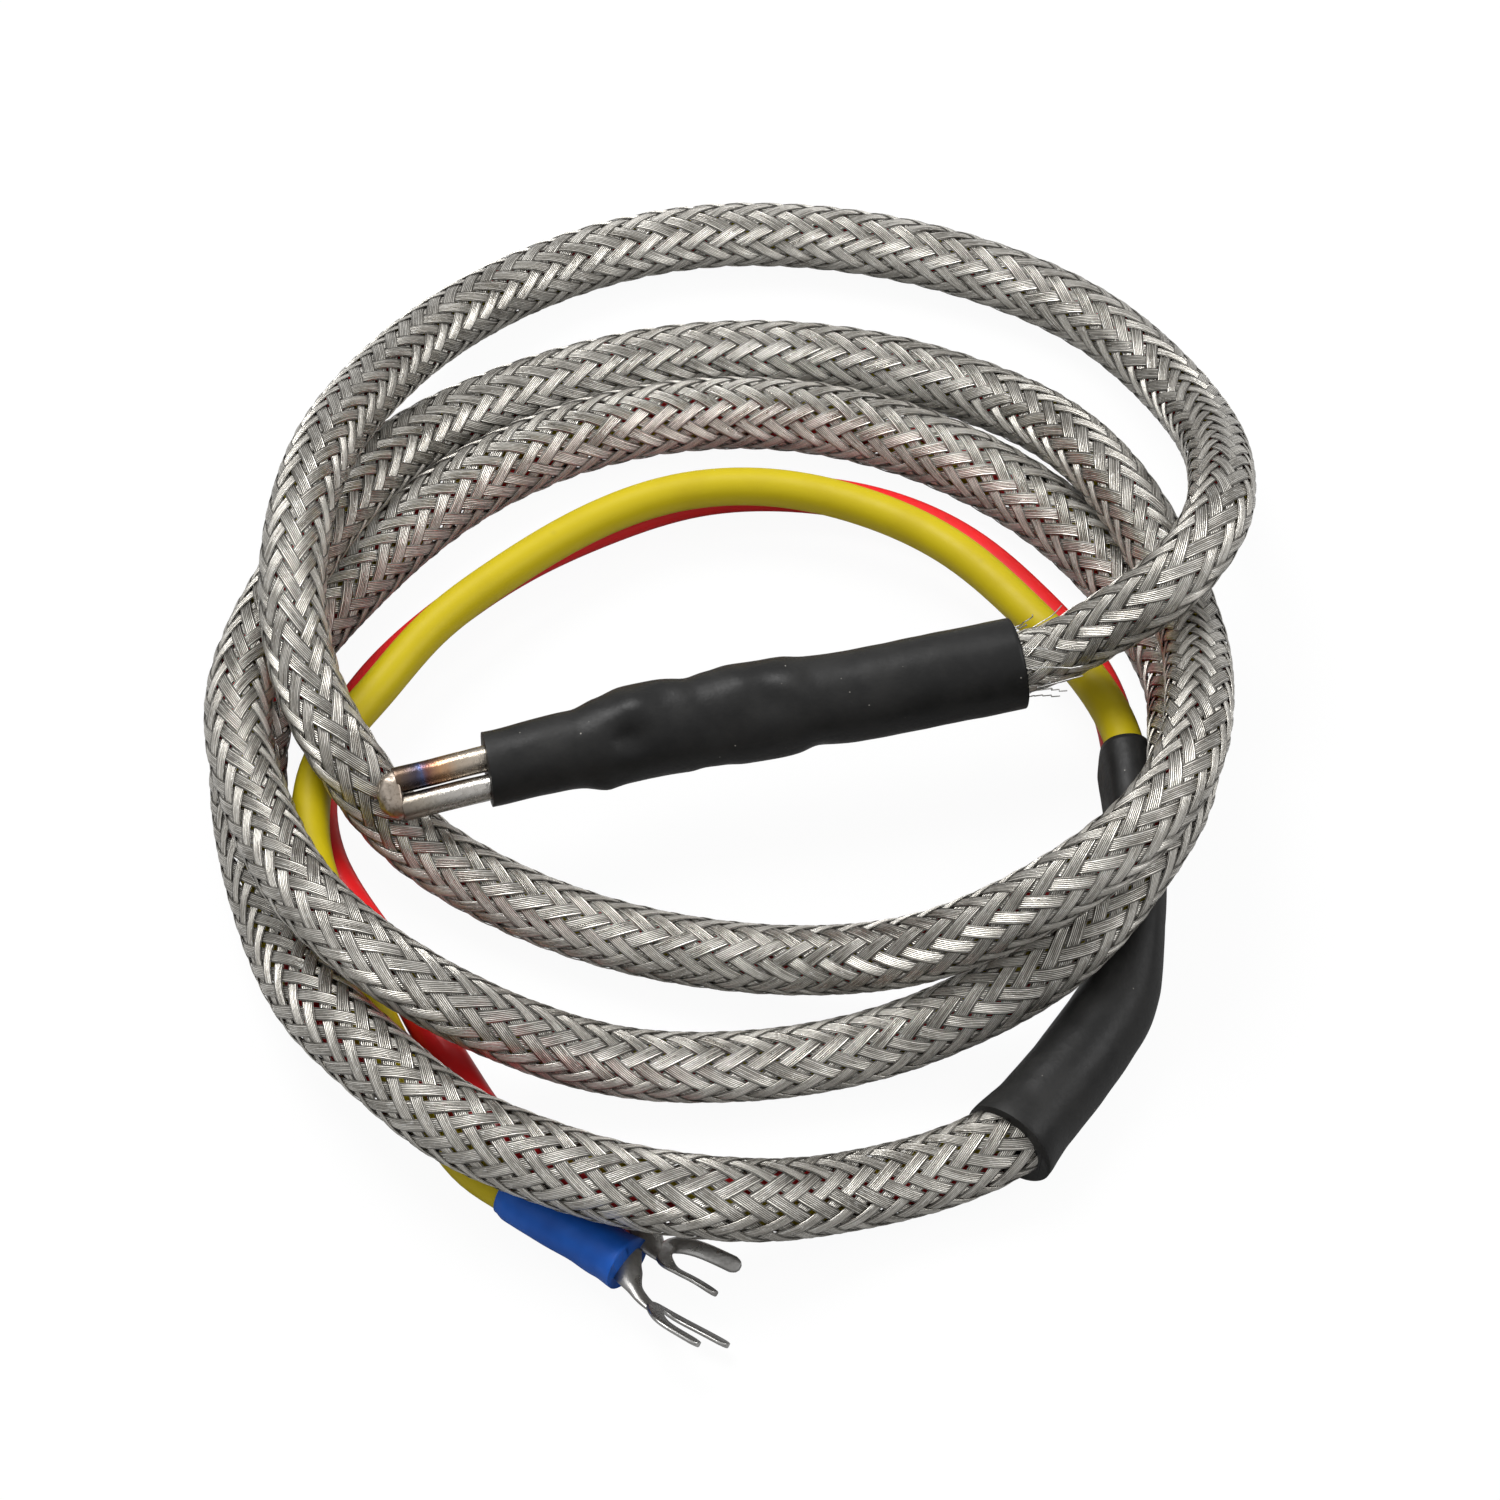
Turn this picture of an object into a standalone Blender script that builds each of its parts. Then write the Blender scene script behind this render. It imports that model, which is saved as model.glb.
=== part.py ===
"""Stove thermocouple: a probe head, a coiled braided cable and two leads with fork terminals.

The probe head lies along X with its hot junction at -X, and the origin is the middle of the
head. Everything else lies on a bench HEAD_HEIGHT below. All lengths are in millimetres and
are turned to metres by MM.
"""
import math

import bmesh
import bpy
import numpy as np
from mathutils import Matrix, Vector

MM = 0.001
CLEARANCE = 0.3
FIT = 0.2

# Overall places
HEAD_HEIGHT = 13.2
SLEEVE_END_X = 34.5

# Hot junction and legs
LEG_RADIUS = 1.38
LEG_GAP = 0.28
LEG_SLANT = math.radians(2.5)
HEAD_ROLL = math.radians(36.0)
LEG_VISIBLE = 9.3
LEG_BURIED = 14.0
BEAD_LENGTH = 2.5
BEAD_NARROWING = 0.45

# Probe sleeve
SLEEVE_LENGTH = 56.4
SLEEVE_WALL = 0.65
SLEEVE_NECK_LENGTH = 9.0
SLEEVE_NECK_RADIUS = 3.95
SLEEVE_BULGE_LENGTH = 16.0
SLEEVE_BLEND_LENGTH = 3.0
CRIMP_SIDE = 0.7
CABLE_SIDE = -0.2

# Crimps between the legs and the cable cores
CRIMP_RADIUS = 1.85
CRIMP_LENGTH = 13.5
CORE_RADIUS = 1.25
CORE_SPACING = 3.3

# Braided cable
CABLE_RADIUS = 3.5
CABLE_BURIED = 20.5
CABLE_STEP = 12.5

# Leads
LEAD_RADIUS = 2.05
LEAD_STEP = 7.0
CONDUCTOR_RADIUS = 0.6
CONDUCTOR_LENGTH = 4.5

# Tail sleeve
TAIL_WALL = 0.5
TAIL_FLARE = 0.2
TAIL_CABLE_OVERLAP = 13.0
TAIL_CORE_LENGTH = 5.5
TAIL_CRIMP_LENGTH = 10.5
TAIL_CRIMP_RADIUS = 1.5
TAIL_CORE_RADIUS = 1.1
TAIL_LOOSE = 0.2
TAIL_FLARE_LENGTH = 2.5
TAIL_ROUND_LENGTH = 15.0
TAIL_OVAL_START = 29.0

# Terminals
BOOT_WALL = 0.35
BOOT_LENGTH = 15.4
BOOT_FLARE = 0.3
BOOT_FLARE_LENGTH = 4.0
BOOT_LEAD_OVERLAP = 6.0
SHEET = 0.8
BARREL_RADIUS = 1.75
BARREL_LENGTH = 8.8
BARREL_PROUD = 0.9
BARREL_SEAM = math.radians(40.0)
NECK_WIDTH = 3.4
NECK_CURL = math.radians(120.0)
FORK_WIDTH = 7.6
FORK_SLOT = 4.3
FORK_SLOT_DEPTH = 6.9
FORK_LAND = 2.0
FORK_TIP_TAPER = 1.1
FORK_TIP_WIDTH = 5.6

# Routes by hand, read off the photograph: X and Y on the bench, then the height above it
CABLE_ROUTE = [
    (SLEEVE_END_X - CABLE_BURIED, CABLE_SIDE, HEAD_HEIGHT),
    (21.0, CABLE_SIDE, HEAD_HEIGHT),
    (28.0, CABLE_SIDE, HEAD_HEIGHT),
    (34.5, CABLE_SIDE, HEAD_HEIGHT),
    (38.5, -0.1, 13.8), (43.5, -0.2, 16.7), (49.5, 0.2, 20.3), (56.0, 5.0, 21.6),
    (60.5, 14.0, 18.2), (63.0, 23.0, 12.8), (64.0, 31.5, 8.2), (63.0, 41.5, 4.8),
    (59.0, 51.5, 3.6), (50.0, 61.5, 3.5), (34.0, 71.5, 3.5), (16.5, 76.0, 3.5),
    (-1.5, 73.5, 4.0), (-14.0, 65.5, 7.2), (-23.0, 55.0, 12.2), (-30.0, 44.0, 16.8),
    (-35.0, 33.0, 18.4), (-38.0, 21.5, 17.2), (-37.6, 12.0, 13.8), (-35.7, 6.2, 11.3),
    (-32.6, 1.5, 7.0), (-24.5, -7.5, 4.0), (-9.5, -19.0, 3.8), (6.8, -27.5, 6.8),
    (15.8, -31.6, 11.6), (26.1, -33.0, 17.5), (37.0, -30.3, 21.7), (45.3, -22.1, 21.5),
    (49.5, -12.5, 18.6), (52.6, -1.5, 13.0), (53.5, 9.5, 10.9), (52.5, 20.5, 10.4),
    (50.0, 31.5, 8.2), (44.5, 43.0, 4.4), (34.5, 51.5, 3.5), (20.0, 57.5, 3.5),
    (2.5, 59.0, 3.5), (-14.5, 55.0, 4.4), (-27.7, 43.6, 9.3), (-38.0, 30.5, 11.0),
    (-45.5, 16.0, 11.4), (-46.0, 1.5, 11.6), (-43.5, -11.5, 13.4), (-36.5, -22.5, 12.8),
    (-26.5, -28.5, 7.6), (-16.0, -32.5, 3.9), (-7.5, -35.0, 3.5), (9.5, -36.5, 3.8),
    (19.0, -36.5, 6.6), (29.0, -35.0, 11.0), (38.0, -29.0, 14.0), (45.0, -20.5, 12.9),
    (49.0, -10.5, 9.6), (52.0, 0.0, 4.6), (51.0, 13.0, 3.5), (46.0, 26.0, 3.5),
    (35.0, 39.5, 3.5), (20.5, 48.0, 3.5), (2.5, 50.5, 3.5), (-15.0, 46.0, 3.5),
    (-30.0, 36.0, 3.5), (-42.3, 22.7, 3.5), (-46.5, 6.0, 3.5), (-46.5, -8.5, 4.2),
    (-45.0, -19.5, 6.8), (-40.5, -30.0, 8.6), (-36.0, -37.5, 8.9), (-29.5, -44.3, 9.5),
    (-22.2, -49.7, 9.7), (-15.0, -52.9, 9.1), (-6.6, -53.9, 6.6), (2.4, -53.2, 4.0),
    (11.6, -52.7, 3.8), (19.5, -51.0, 4.9), (24.4, -47.2, 4.9), (29.0, -43.0, 4.9),
]
TAIL_ROUTE = [
    (19.5, -51.0, 4.9), (27.2, -44.7, 4.9), (34.3, -37.3, 4.9), (39.0, -28.2, 4.9), (41.5, -17.9, 4.9),
    (43.4, -7.5, 4.9),
]
YELLOW_ROUTE = [
    (39.0, -28.2, 7.05), (41.5, -17.9, 7.05), (43.3, -8.0, 7.0), (42.4, 1.0, 6.5),
    (38.6, 12.0, 6.3), (33.5, 22.0, 6.4), (26.0, 30.0, 6.4), (17.0, 35.3, 6.4),
    (6.7, 37.2, 6.4), (-3.6, 35.4, 6.3), (-14.0, 30.8, 6.5), (-23.2, 25.4, 6.4),
    (-31.0, 18.4, 6.3), (-37.4, 12.0, 6.4), (-40.8, 4.0, 6.7), (-41.6, -4.5, 7.0),
    (-40.3, -13.0, 5.2), (-39.0, -21.5, 2.9), (-37.2, -29.3, 2.15), (-35.7, -35.5, 2.25),
    (-33.9, -40.4, 2.7), (-31.5, -43.8, 2.95),
]
RED_ROUTE = [
    (39.0, -28.2, 2.75), (41.5, -17.9, 2.75), (43.5, -8.0, 2.7), (44.6, 1.0, 2.3),
    (43.6, 8.5, 2.15), (40.8, 16.5, 2.15), (36.5, 25.0, 2.15), (29.0, 32.8, 2.15),
    (20.0, 37.4, 2.15), (9.9, 39.4, 2.15), (-0.4, 38.2, 2.15), (-10.8, 35.2, 2.15),
    (-20.1, 30.6, 2.15), (-28.5, 24.8, 2.15), (-35.3, 17.2, 2.15), (-39.0, 9.6, 2.15),
    (-39.7, 1.5, 2.15), (-38.2, -6.0, 2.15), (-36.0, -13.5, 2.15), (-34.3, -22.2, 2.15),
    (-32.5, -29.7, 2.15), (-30.5, -35.7, 2.35), (-27.4, -39.6, 2.65),
]
# Terminals: lead entry, boot heading, then the fork's root, heading and roll
BLUE_TERMINAL = ((-31.5, -43.8, 2.95), math.radians(-49.9), (-21.7, -59.9, 3.15), math.radians(-50.0), math.radians(-43.0))
RED_TERMINAL = ((-27.4, -39.6, 2.65), math.radians(-49.5), (-16.2, -54.8, 2.4), math.radians(-43.0), math.radians(-21.0))

RING_SIDES = 20


def bench(x, y, height):
    """Return the part's point, in metres, for a place on the bench and a height above it."""
    return Vector((x, y, height - HEAD_HEIGHT)) * MM


def clear_scene():
    for obj in list(bpy.data.objects):
        bpy.data.objects.remove(obj, do_unlink=True)


def make_material(name, color, metallic, roughness):
    material = bpy.data.materials.new(name)
    material.use_nodes = True
    shader = material.node_tree.nodes["Principled BSDF"]
    shader.inputs["Base Color"].default_value = (*color, 1.0)
    shader.inputs["Metallic"].default_value = metallic
    shader.inputs["Roughness"].default_value = roughness
    material.diffuse_color = (*color, 1.0)
    return material


def add_object(name, mesh, material, smooth_angle=math.radians(35.0)):
    mesh.materials.append(material)
    obj = bpy.data.objects.new(name, mesh)
    bpy.context.scene.collection.objects.link(obj)
    mesh.polygons.foreach_set("use_smooth", [True] * len(mesh.polygons))
    mesh.set_sharp_from_angle(angle=smooth_angle)
    return obj


def mesh_from(name, bm):
    bmesh.ops.recalc_face_normals(bm, faces=bm.faces)
    mesh = bpy.data.meshes.new(name)
    bm.to_mesh(mesh)
    bm.free()
    return mesh


def ring_faces(bm, first, second):
    count = len(first)
    for i in range(count):
        j = (i + 1) % count
        bm.faces.new((first[i], first[j], second[j], second[i]))


def solid_loft(name, rings):
    """Return a mesh through rings of equal count, closed with a flat cap at each end."""
    bm = bmesh.new()
    rows = [[bm.verts.new(point) for point in ring] for ring in rings]
    for first, second in zip(rows, rows[1:]):
        ring_faces(bm, first, second)
    bm.faces.new(rows[0])
    bm.faces.new(rows[-1])
    return mesh_from(name, bm)


def tube_loft(name, outer, inner):
    """Return a mesh of a tube open at both ends, from its outer and its inner rings."""
    bm = bmesh.new()
    loop = [[bm.verts.new(point) for point in ring] for ring in outer + inner[::-1]]
    for first, second in zip(loop, loop[1:] + loop[:1]):
        ring_faces(bm, first, second)
    return mesh_from(name, bm)


def stadium_ring(frame, half_width, straight, count=RING_SIDES):
    """Return a round section that a straight part stretches along the frame's Z."""
    points = []
    for i in range(count):
        angle = (i + 0.5) * 2.0 * math.pi / count
        rise = math.copysign(straight, math.sin(angle))
        local = Vector((0.0, half_width * math.cos(angle), half_width * math.sin(angle) + rise))
        points.append(frame @ (local * MM))
    return points


def frame_at(place, along, roll=0.0):
    """Return a matrix whose X runs along a direction, with Y level before the roll."""
    x_axis = along.normalized()
    y_axis = Vector((0.0, 0.0, 1.0)).cross(x_axis).normalized()
    z_axis = x_axis.cross(y_axis)
    turned = Matrix((x_axis, y_axis, z_axis)).transposed().to_4x4()
    return Matrix.Translation(place) @ turned @ Matrix.Rotation(roll, 4, "X")


def cylinder(name, frame, radius, length, sides=16):
    rings = [stadium_ring(frame @ Matrix.Translation((x * MM, 0, 0)), radius, 0.0, sides) for x in (0.0, length)]
    return solid_loft(name, rings)


def smooth_route(points, step):
    """Return points spaced evenly along a natural cubic spline through a route.

    Args:
        points: the route, as X, Y and height on the bench in millimetres.
        step: the spacing to aim for, in millimetres.
    """
    nodes = np.array(points, dtype=float)
    chord = np.linalg.norm(np.diff(nodes, axis=0), axis=1)
    place = np.concatenate(([0.0], np.cumsum(chord)))
    count = len(nodes)
    matrix = np.eye(count)
    right = np.zeros_like(nodes)
    for i in range(1, count - 1):
        before, after = chord[i - 1], chord[i]
        matrix[i, i - 1:i + 2] = before, 2.0 * (before + after), after
        right[i] = 6.0 * ((nodes[i + 1] - nodes[i]) / after - (nodes[i] - nodes[i - 1]) / before)
    bend = np.linalg.solve(matrix, right)
    dense = []
    for i in range(count - 1):
        span = chord[i]
        for t in np.linspace(0.0, span, 24, endpoint=False):
            back = span - t
            value = (bend[i] * back ** 3 + bend[i + 1] * t ** 3) / (6.0 * span)
            value += (nodes[i] / span - bend[i] * span / 6.0) * back
            value += (nodes[i + 1] / span - bend[i + 1] * span / 6.0) * t
            dense.append(value)
    dense.append(nodes[-1])
    dense = np.array(dense)
    run = np.concatenate(([0.0], np.cumsum(np.linalg.norm(np.diff(dense, axis=0), axis=1))))
    pieces = max(2, round(run[-1] / step))
    wanted = np.linspace(0.0, run[-1], pieces + 1)
    return [Vector([np.interp(s, run, dense[:, axis]) for axis in range(3)]) for s in wanted]


def add_cord(name, route, radius, step, material, sides=3):
    """Add a plain tube along a smooth curve through a route."""
    curve = bpy.data.curves.new(name, "CURVE")
    curve.dimensions = "3D"
    curve.bevel_depth = radius * MM
    curve.bevel_resolution = sides
    curve.use_fill_caps = True
    curve.materials.append(material)
    places = smooth_route(route, step)
    spline = curve.splines.new("POLY")
    spline.points.add(len(places) - 1)
    for point, place in zip(spline.points, places):
        point.co = (*bench(*place), 1.0)
    obj = bpy.data.objects.new(name, curve)
    bpy.context.scene.collection.objects.link(obj)
    return obj


def blend(first, second, start, end, x):
    t = min(1.0, max(0.0, (x - start) / (end - start)))
    t = t * t * (3.0 - 2.0 * t)
    return first + (second - first) * t


def add_probe_head(steel, bright, insulation, core):
    """Add the welded bead, the two legs, their crimps and cores, and the sleeve round them."""
    mouth_x = SLEEVE_END_X - SLEEVE_LENGTH
    crimp_x = mouth_x + LEG_BURIED
    leg_spacing = 2.0 * LEG_RADIUS + LEG_GAP
    crimp_spacing = 2.0 * CRIMP_RADIUS + CLEARANCE
    leg_length = LEG_VISIBLE + LEG_BURIED
    legs_end = Vector((crimp_x - CLEARANCE, CRIMP_SIDE, 0.0)) * MM
    along = Vector((math.cos(LEG_SLANT), math.sin(LEG_SLANT), 0.0))
    legs = frame_at(legs_end, along, HEAD_ROLL)

    for name, side, finish in (("positive_leg", 1.0, steel), ("negative_leg", -1.0, bright)):
        offset = Matrix.Translation(Vector((-leg_length, side * leg_spacing / 2.0, 0.0)) * MM)
        add_object(name, cylinder(name, legs @ offset, LEG_RADIUS, leg_length), finish)

    bead_base = -leg_length - CLEARANCE
    half_width = leg_spacing / 2.0 + LEG_RADIUS - BEAD_NARROWING
    rings = []
    for t in (0.0, 0.25, 0.5, 0.7, 0.85, 0.95):
        swell = math.sqrt(1.0 - t * t)
        station = legs @ Matrix.Translation(Vector((bead_base - BEAD_LENGTH * t, 0.0, 0.0)) * MM)
        station = station @ Matrix.Rotation(math.radians(90.0), 4, "X")
        height = LEG_RADIUS * swell
        rings.append(stadium_ring(station, height, (half_width - LEG_RADIUS) * swell))
    add_object("junction_bead", solid_loft("junction_bead", rings), steel, math.radians(50.0))

    core_x = crimp_x + CRIMP_LENGTH + CLEARANCE
    core_end = SLEEVE_END_X - CABLE_BURIED - CLEARANCE
    for name, side in (("positive", 1.0), ("negative", -1.0)):
        axis = frame_at(Vector((crimp_x, CRIMP_SIDE, 0.0)) * MM, Vector((1.0, 0.0, 0.0)), HEAD_ROLL)
        place = axis @ Matrix.Translation(Vector((0.0, side * crimp_spacing / 2.0, 0.0)) * MM)
        add_object(f"{name}_crimp", cylinder("crimp", place, CRIMP_RADIUS, CRIMP_LENGTH), bright)
        axis = frame_at(Vector((core_x, (CRIMP_SIDE + CABLE_SIDE) / 2.0, 0.0)) * MM, Vector((1.0, 0.0, 0.0)), HEAD_ROLL)
        place = axis @ Matrix.Translation(Vector((0.0, side * CORE_SPACING / 2.0, 0.0)) * MM)
        add_object(f"{name}_core", cylinder("core", place, CORE_RADIUS, core_end - core_x), core[name])

    bulge_inner = crimp_spacing / 2.0 + CRIMP_RADIUS + CLEARANCE
    braid_inner = CABLE_RADIUS + CLEARANCE + FIT
    neck_inner = SLEEVE_NECK_RADIUS - SLEEVE_WALL
    neck_end = mouth_x + SLEEVE_NECK_LENGTH
    bulge_end = neck_end + SLEEVE_BLEND_LENGTH + SLEEVE_BULGE_LENGTH
    outer, inner = [], []
    count = 30
    for i in range(count + 1):
        x = mouth_x + SLEEVE_LENGTH * i / count
        radius = blend(neck_inner, bulge_inner, neck_end, neck_end + SLEEVE_BLEND_LENGTH, x)
        radius = blend(radius, braid_inner, bulge_end, bulge_end + SLEEVE_BLEND_LENGTH, x)
        leg_side = CRIMP_SIDE - (crimp_x - x) * math.tan(LEG_SLANT)
        side = blend(leg_side, CRIMP_SIDE, neck_end, crimp_x, x)
        side = blend(side, CABLE_SIDE, crimp_x + CRIMP_LENGTH, core_end, x)
        station = frame_at(Vector((x, side, 0.0)) * MM, Vector((1.0, 0.0, 0.0)))
        inner.append(stadium_ring(station, radius, 0.0, 24))
        outer.append(stadium_ring(station, radius + SLEEVE_WALL, 0.0, 24))
    add_object("probe_sleeve", tube_loft("probe_sleeve", outer, inner), insulation)


def tail_frames():
    """Return frames every millimetre or so along the tail sleeve, and their distances."""
    places = smooth_route(TAIL_ROUTE, 1.5)
    frames, runs = [], []
    run = 0.0
    for i, place in enumerate(places):
        ahead = places[min(i + 1, len(places) - 1)]
        behind = places[max(i - 1, 0)]
        if i:
            run += (place - places[i - 1]).length
        frames.append(frame_at(bench(*place), ahead - behind))
        runs.append(run)
    return frames, runs


def add_tail(insulation, bright, core):
    """Add the shrink sleeve from the braid to the two leads, and the crimps inside it."""
    frames, runs = tail_frames()
    lead_half = LEAD_RADIUS + FIT / 2.0
    round_inner = CABLE_RADIUS + CLEARANCE
    oval_inner = LEAD_RADIUS + FIT + TAIL_LOOSE
    outer, inner = [], []
    for frame, run in zip(frames, runs):
        width = blend(round_inner, oval_inner, TAIL_ROUND_LENGTH, TAIL_OVAL_START, run)
        straight = blend(0.0, lead_half - TAIL_LOOSE, TAIL_ROUND_LENGTH, TAIL_OVAL_START, run)
        width += blend(TAIL_FLARE, 0.0, 0.0, TAIL_FLARE_LENGTH, run)
        inner.append(stadium_ring(frame, width, straight))
        outer.append(stadium_ring(frame, width + TAIL_WALL, straight))
    add_object("tail_sleeve", tube_loft("tail_sleeve", outer, inner), insulation)

    stub_start = TAIL_CABLE_OVERLAP + CLEARANCE
    crimp_start = stub_start + TAIL_CORE_LENGTH + CLEARANCE + FIT
    for name, side in (("yellow", 1.0), ("red", -1.0)):
        spans = (
            (f"{name}_tail_core", stub_start, TAIL_CORE_LENGTH, TAIL_CORE_RADIUS, core[name]),
            (f"{name}_tail_crimp", crimp_start, TAIL_CRIMP_LENGTH, TAIL_CRIMP_RADIUS, bright),
        )
        for label, start, length, radius, finish in spans:
            middle = start + length / 2.0
            nearest = min(range(len(runs)), key=lambda i: abs(runs[i] - middle))
            offset = Vector((start - runs[nearest], 0.0, side * lead_half)) * MM
            frame = frames[nearest] @ Matrix.Translation(offset)
            add_object(label, cylinder(label, frame, radius, length), finish)


def sheet_section(frame, base, width, curl, across=12):
    """Return the two sides of a strip of sheet, curled about an axis along the frame's X."""
    lower, upper = [], []
    for i in range(across + 1):
        u = width * (i / across - 0.5)
        if curl < 1e-4:
            middle, normal = Vector((0.0, u, base)), Vector((0.0, 0.0, 1.0))
        else:
            radius = width / curl
            angle = u / radius
            middle = Vector((0.0, radius * math.sin(angle), base + radius * (1.0 - math.cos(angle))))
            normal = Vector((0.0, -math.sin(angle), math.cos(angle)))
        lower.append(frame @ ((middle - normal * SHEET / 2.0) * MM))
        upper.append(frame @ ((middle + normal * SHEET / 2.0) * MM))
    return lower + upper[::-1]


def mixed(first, second, t):
    """Return the frame a share of the way from one frame to another."""
    turn = first.to_quaternion().slerp(second.to_quaternion(), t)
    place = first.translation.lerp(second.translation, t)
    return Matrix.Translation(place) @ turn.to_matrix().to_4x4()


def fork_outline():
    """Return distances along the fork from its root, with the sheet's width at each."""
    length = FORK_LAND + FORK_SLOT_DEPTH
    shoulder = FORK_LAND * 0.9
    rows = []
    for t in (0.0, 0.35, 0.7, 1.0):
        width = NECK_WIDTH + (FORK_WIDTH - NECK_WIDTH) * math.sin(t * math.pi / 2.0)
        rows.append((shoulder * t, width))
    for t in (0.0, 0.5, 0.85, 1.0):
        width = FORK_TIP_WIDTH + (FORK_WIDTH - FORK_TIP_WIDTH) * math.sqrt(1.0 - t * t)
        rows.append((length - FORK_TIP_TAPER * (1.0 - t), width))
    return rows


def slot_cutter(frame):
    """Return a mesh of the fork's slot, round at its closed end and past the tips."""
    radius = FORK_SLOT / 2.0
    points = []
    for i in range(13):
        angle = math.pi / 2.0 + math.pi * i / 12.0
        points.append((FORK_LAND + radius + radius * math.cos(angle), radius * math.sin(angle)))
    past = FORK_LAND + FORK_SLOT_DEPTH + 2.0
    points.append((past, -radius))
    points.append((past, radius))
    rings = [[frame @ (Vector((x, y, z)) * MM) for x, y in points] for z in (-3.0 * SHEET, 3.0 * SHEET)]
    return solid_loft("slot_cutter", rings)


def add_terminal(name, spec, boot_finish, tinned, copper):
    """Add one lead's boot, its bare conductor and its crimped fork.

    Args:
        name: the lead's colour, which starts the nodes' names.
        spec: lead entry, boot heading, fork root, fork heading and fork roll.
        boot_finish: material of the soft boot.
        tinned: material of the fork.
        copper: material of the conductor.
    """
    entry, heading, root, fork_heading, fork_roll = spec
    along = Vector((math.cos(heading), math.sin(heading), 0.0))
    boot = frame_at(bench(*entry), along, fork_roll)
    bore = LEAD_RADIUS + FIT
    outer, inner = [], []
    for x in (0.0, BOOT_LENGTH / 2.0, BOOT_LENGTH - BOOT_FLARE_LENGTH, BOOT_LENGTH - 1.0, BOOT_LENGTH):
        station = boot @ Matrix.Translation((x * MM, 0.0, 0.0))
        flare = blend(0.0, BOOT_FLARE, BOOT_LENGTH - BOOT_FLARE_LENGTH, BOOT_LENGTH, x)
        inner.append(stadium_ring(station, bore + flare, 0.0))
        outer.append(stadium_ring(station, bore + flare + BOOT_WALL, 0.0))
    add_object(f"{name}_boot", tube_loft("boot", outer, inner), boot_finish)

    wire = boot @ Matrix.Translation(((BOOT_LEAD_OVERLAP + CLEARANCE) * MM, 0.0, 0.0))
    conductor = cylinder("conductor", wire, CONDUCTOR_RADIUS, CONDUCTOR_LENGTH, 12)
    add_object(f"{name}_conductor", conductor, copper)

    barrel_end = boot @ Matrix.Translation(((BOOT_LENGTH + BARREL_PROUD) * MM, 0.0, 0.0))
    barrel_start = barrel_end @ Matrix.Translation((-BARREL_LENGTH * MM, 0.0, 0.0))
    fork_along = Vector((math.cos(fork_heading), math.sin(fork_heading), 0.0))
    fork = frame_at(bench(*root), fork_along, fork_roll)
    middle_radius = BARREL_RADIUS - SHEET / 2.0
    curl = 2.0 * math.pi - BARREL_SEAM
    barrel_width = middle_radius * curl
    sections = [
        sheet_section(barrel_start, -middle_radius, barrel_width, curl),
        sheet_section(barrel_end, -middle_radius, barrel_width, curl),
    ]
    for t in (0.2, 0.4, 0.6, 0.8):
        width = blend(barrel_width, NECK_WIDTH, 0.0, 0.6, t)
        opening = blend(curl, NECK_CURL, 0.0, 0.6, t)
        opening = blend(opening, 0.0, 0.6, 1.0, t)
        base = blend(-middle_radius, 0.0, 0.0, 1.0, t)
        sections.append(sheet_section(mixed(barrel_end, fork, t), base, width, opening))
    for x, width in fork_outline():
        station = fork @ Matrix.Translation((x * MM, 0.0, 0.0))
        sections.append(sheet_section(station, 0.0, width, 0.0))
    label = f"{name}_fork"
    obj = add_object(label, solid_loft(label, sections), tinned)
    cutter = bpy.data.objects.new(f"{label}_slot", slot_cutter(fork))
    bpy.context.scene.collection.objects.link(cutter)
    cutter.hide_render = True
    cutter.display_type = "WIRE"
    slot = obj.modifiers.new("slot", "BOOLEAN")
    slot.operation = "DIFFERENCE"
    slot.solver = "EXACT"
    slot.object = cutter


def lead_route(route, spec):
    """Return a lead's route carried on, straight, into its boot."""
    entry, heading = spec[0], spec[1]
    inside = []
    for run in (BOOT_LEAD_OVERLAP / 2.0, BOOT_LEAD_OVERLAP):
        inside.append((entry[0] + run * math.cos(heading), entry[1] + run * math.sin(heading), entry[2]))
    return route + inside


def main():
    clear_scene()
    tinted = make_material("heat_tinted_steel", (0.24, 0.19, 0.14), 1.0, 0.5)
    nickel = make_material("bright_nickel", (0.55, 0.53, 0.50), 1.0, 0.35)
    sleeve = make_material("black_sleeve", (0.022, 0.022, 0.022), 0.0, 0.5)
    braid = make_material("steel_braid", (0.42, 0.41, 0.38), 1.0, 0.4)
    yellow = make_material("yellow_insulation", (0.62, 0.52, 0.015), 0.0, 0.4)
    red = make_material("red_insulation", (0.60, 0.015, 0.015), 0.0, 0.4)
    blue = make_material("blue_boot", (0.015, 0.09, 0.38), 0.0, 0.35)
    red_boot = make_material("red_boot", (0.55, 0.012, 0.015), 0.0, 0.35)
    tin = make_material("tinned_copper", (0.60, 0.60, 0.58), 1.0, 0.3)
    copper = make_material("copper_wire", (0.70, 0.32, 0.18), 1.0, 0.35)

    cores = {"positive": yellow, "negative": red, "yellow": yellow, "red": red}
    add_probe_head(tinted, nickel, sleeve, cores)
    add_cord("braided_cable", CABLE_ROUTE, CABLE_RADIUS, CABLE_STEP, braid)
    add_tail(sleeve, nickel, cores)
    add_cord("yellow_lead", lead_route(YELLOW_ROUTE, BLUE_TERMINAL), LEAD_RADIUS, LEAD_STEP, yellow, 2)
    add_cord("red_lead", lead_route(RED_ROUTE, RED_TERMINAL), LEAD_RADIUS, LEAD_STEP, red, 2)
    add_terminal("blue", BLUE_TERMINAL, blue, tin, copper)
    add_terminal("red", RED_TERMINAL, red_boot, tin, copper)


main()
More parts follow.
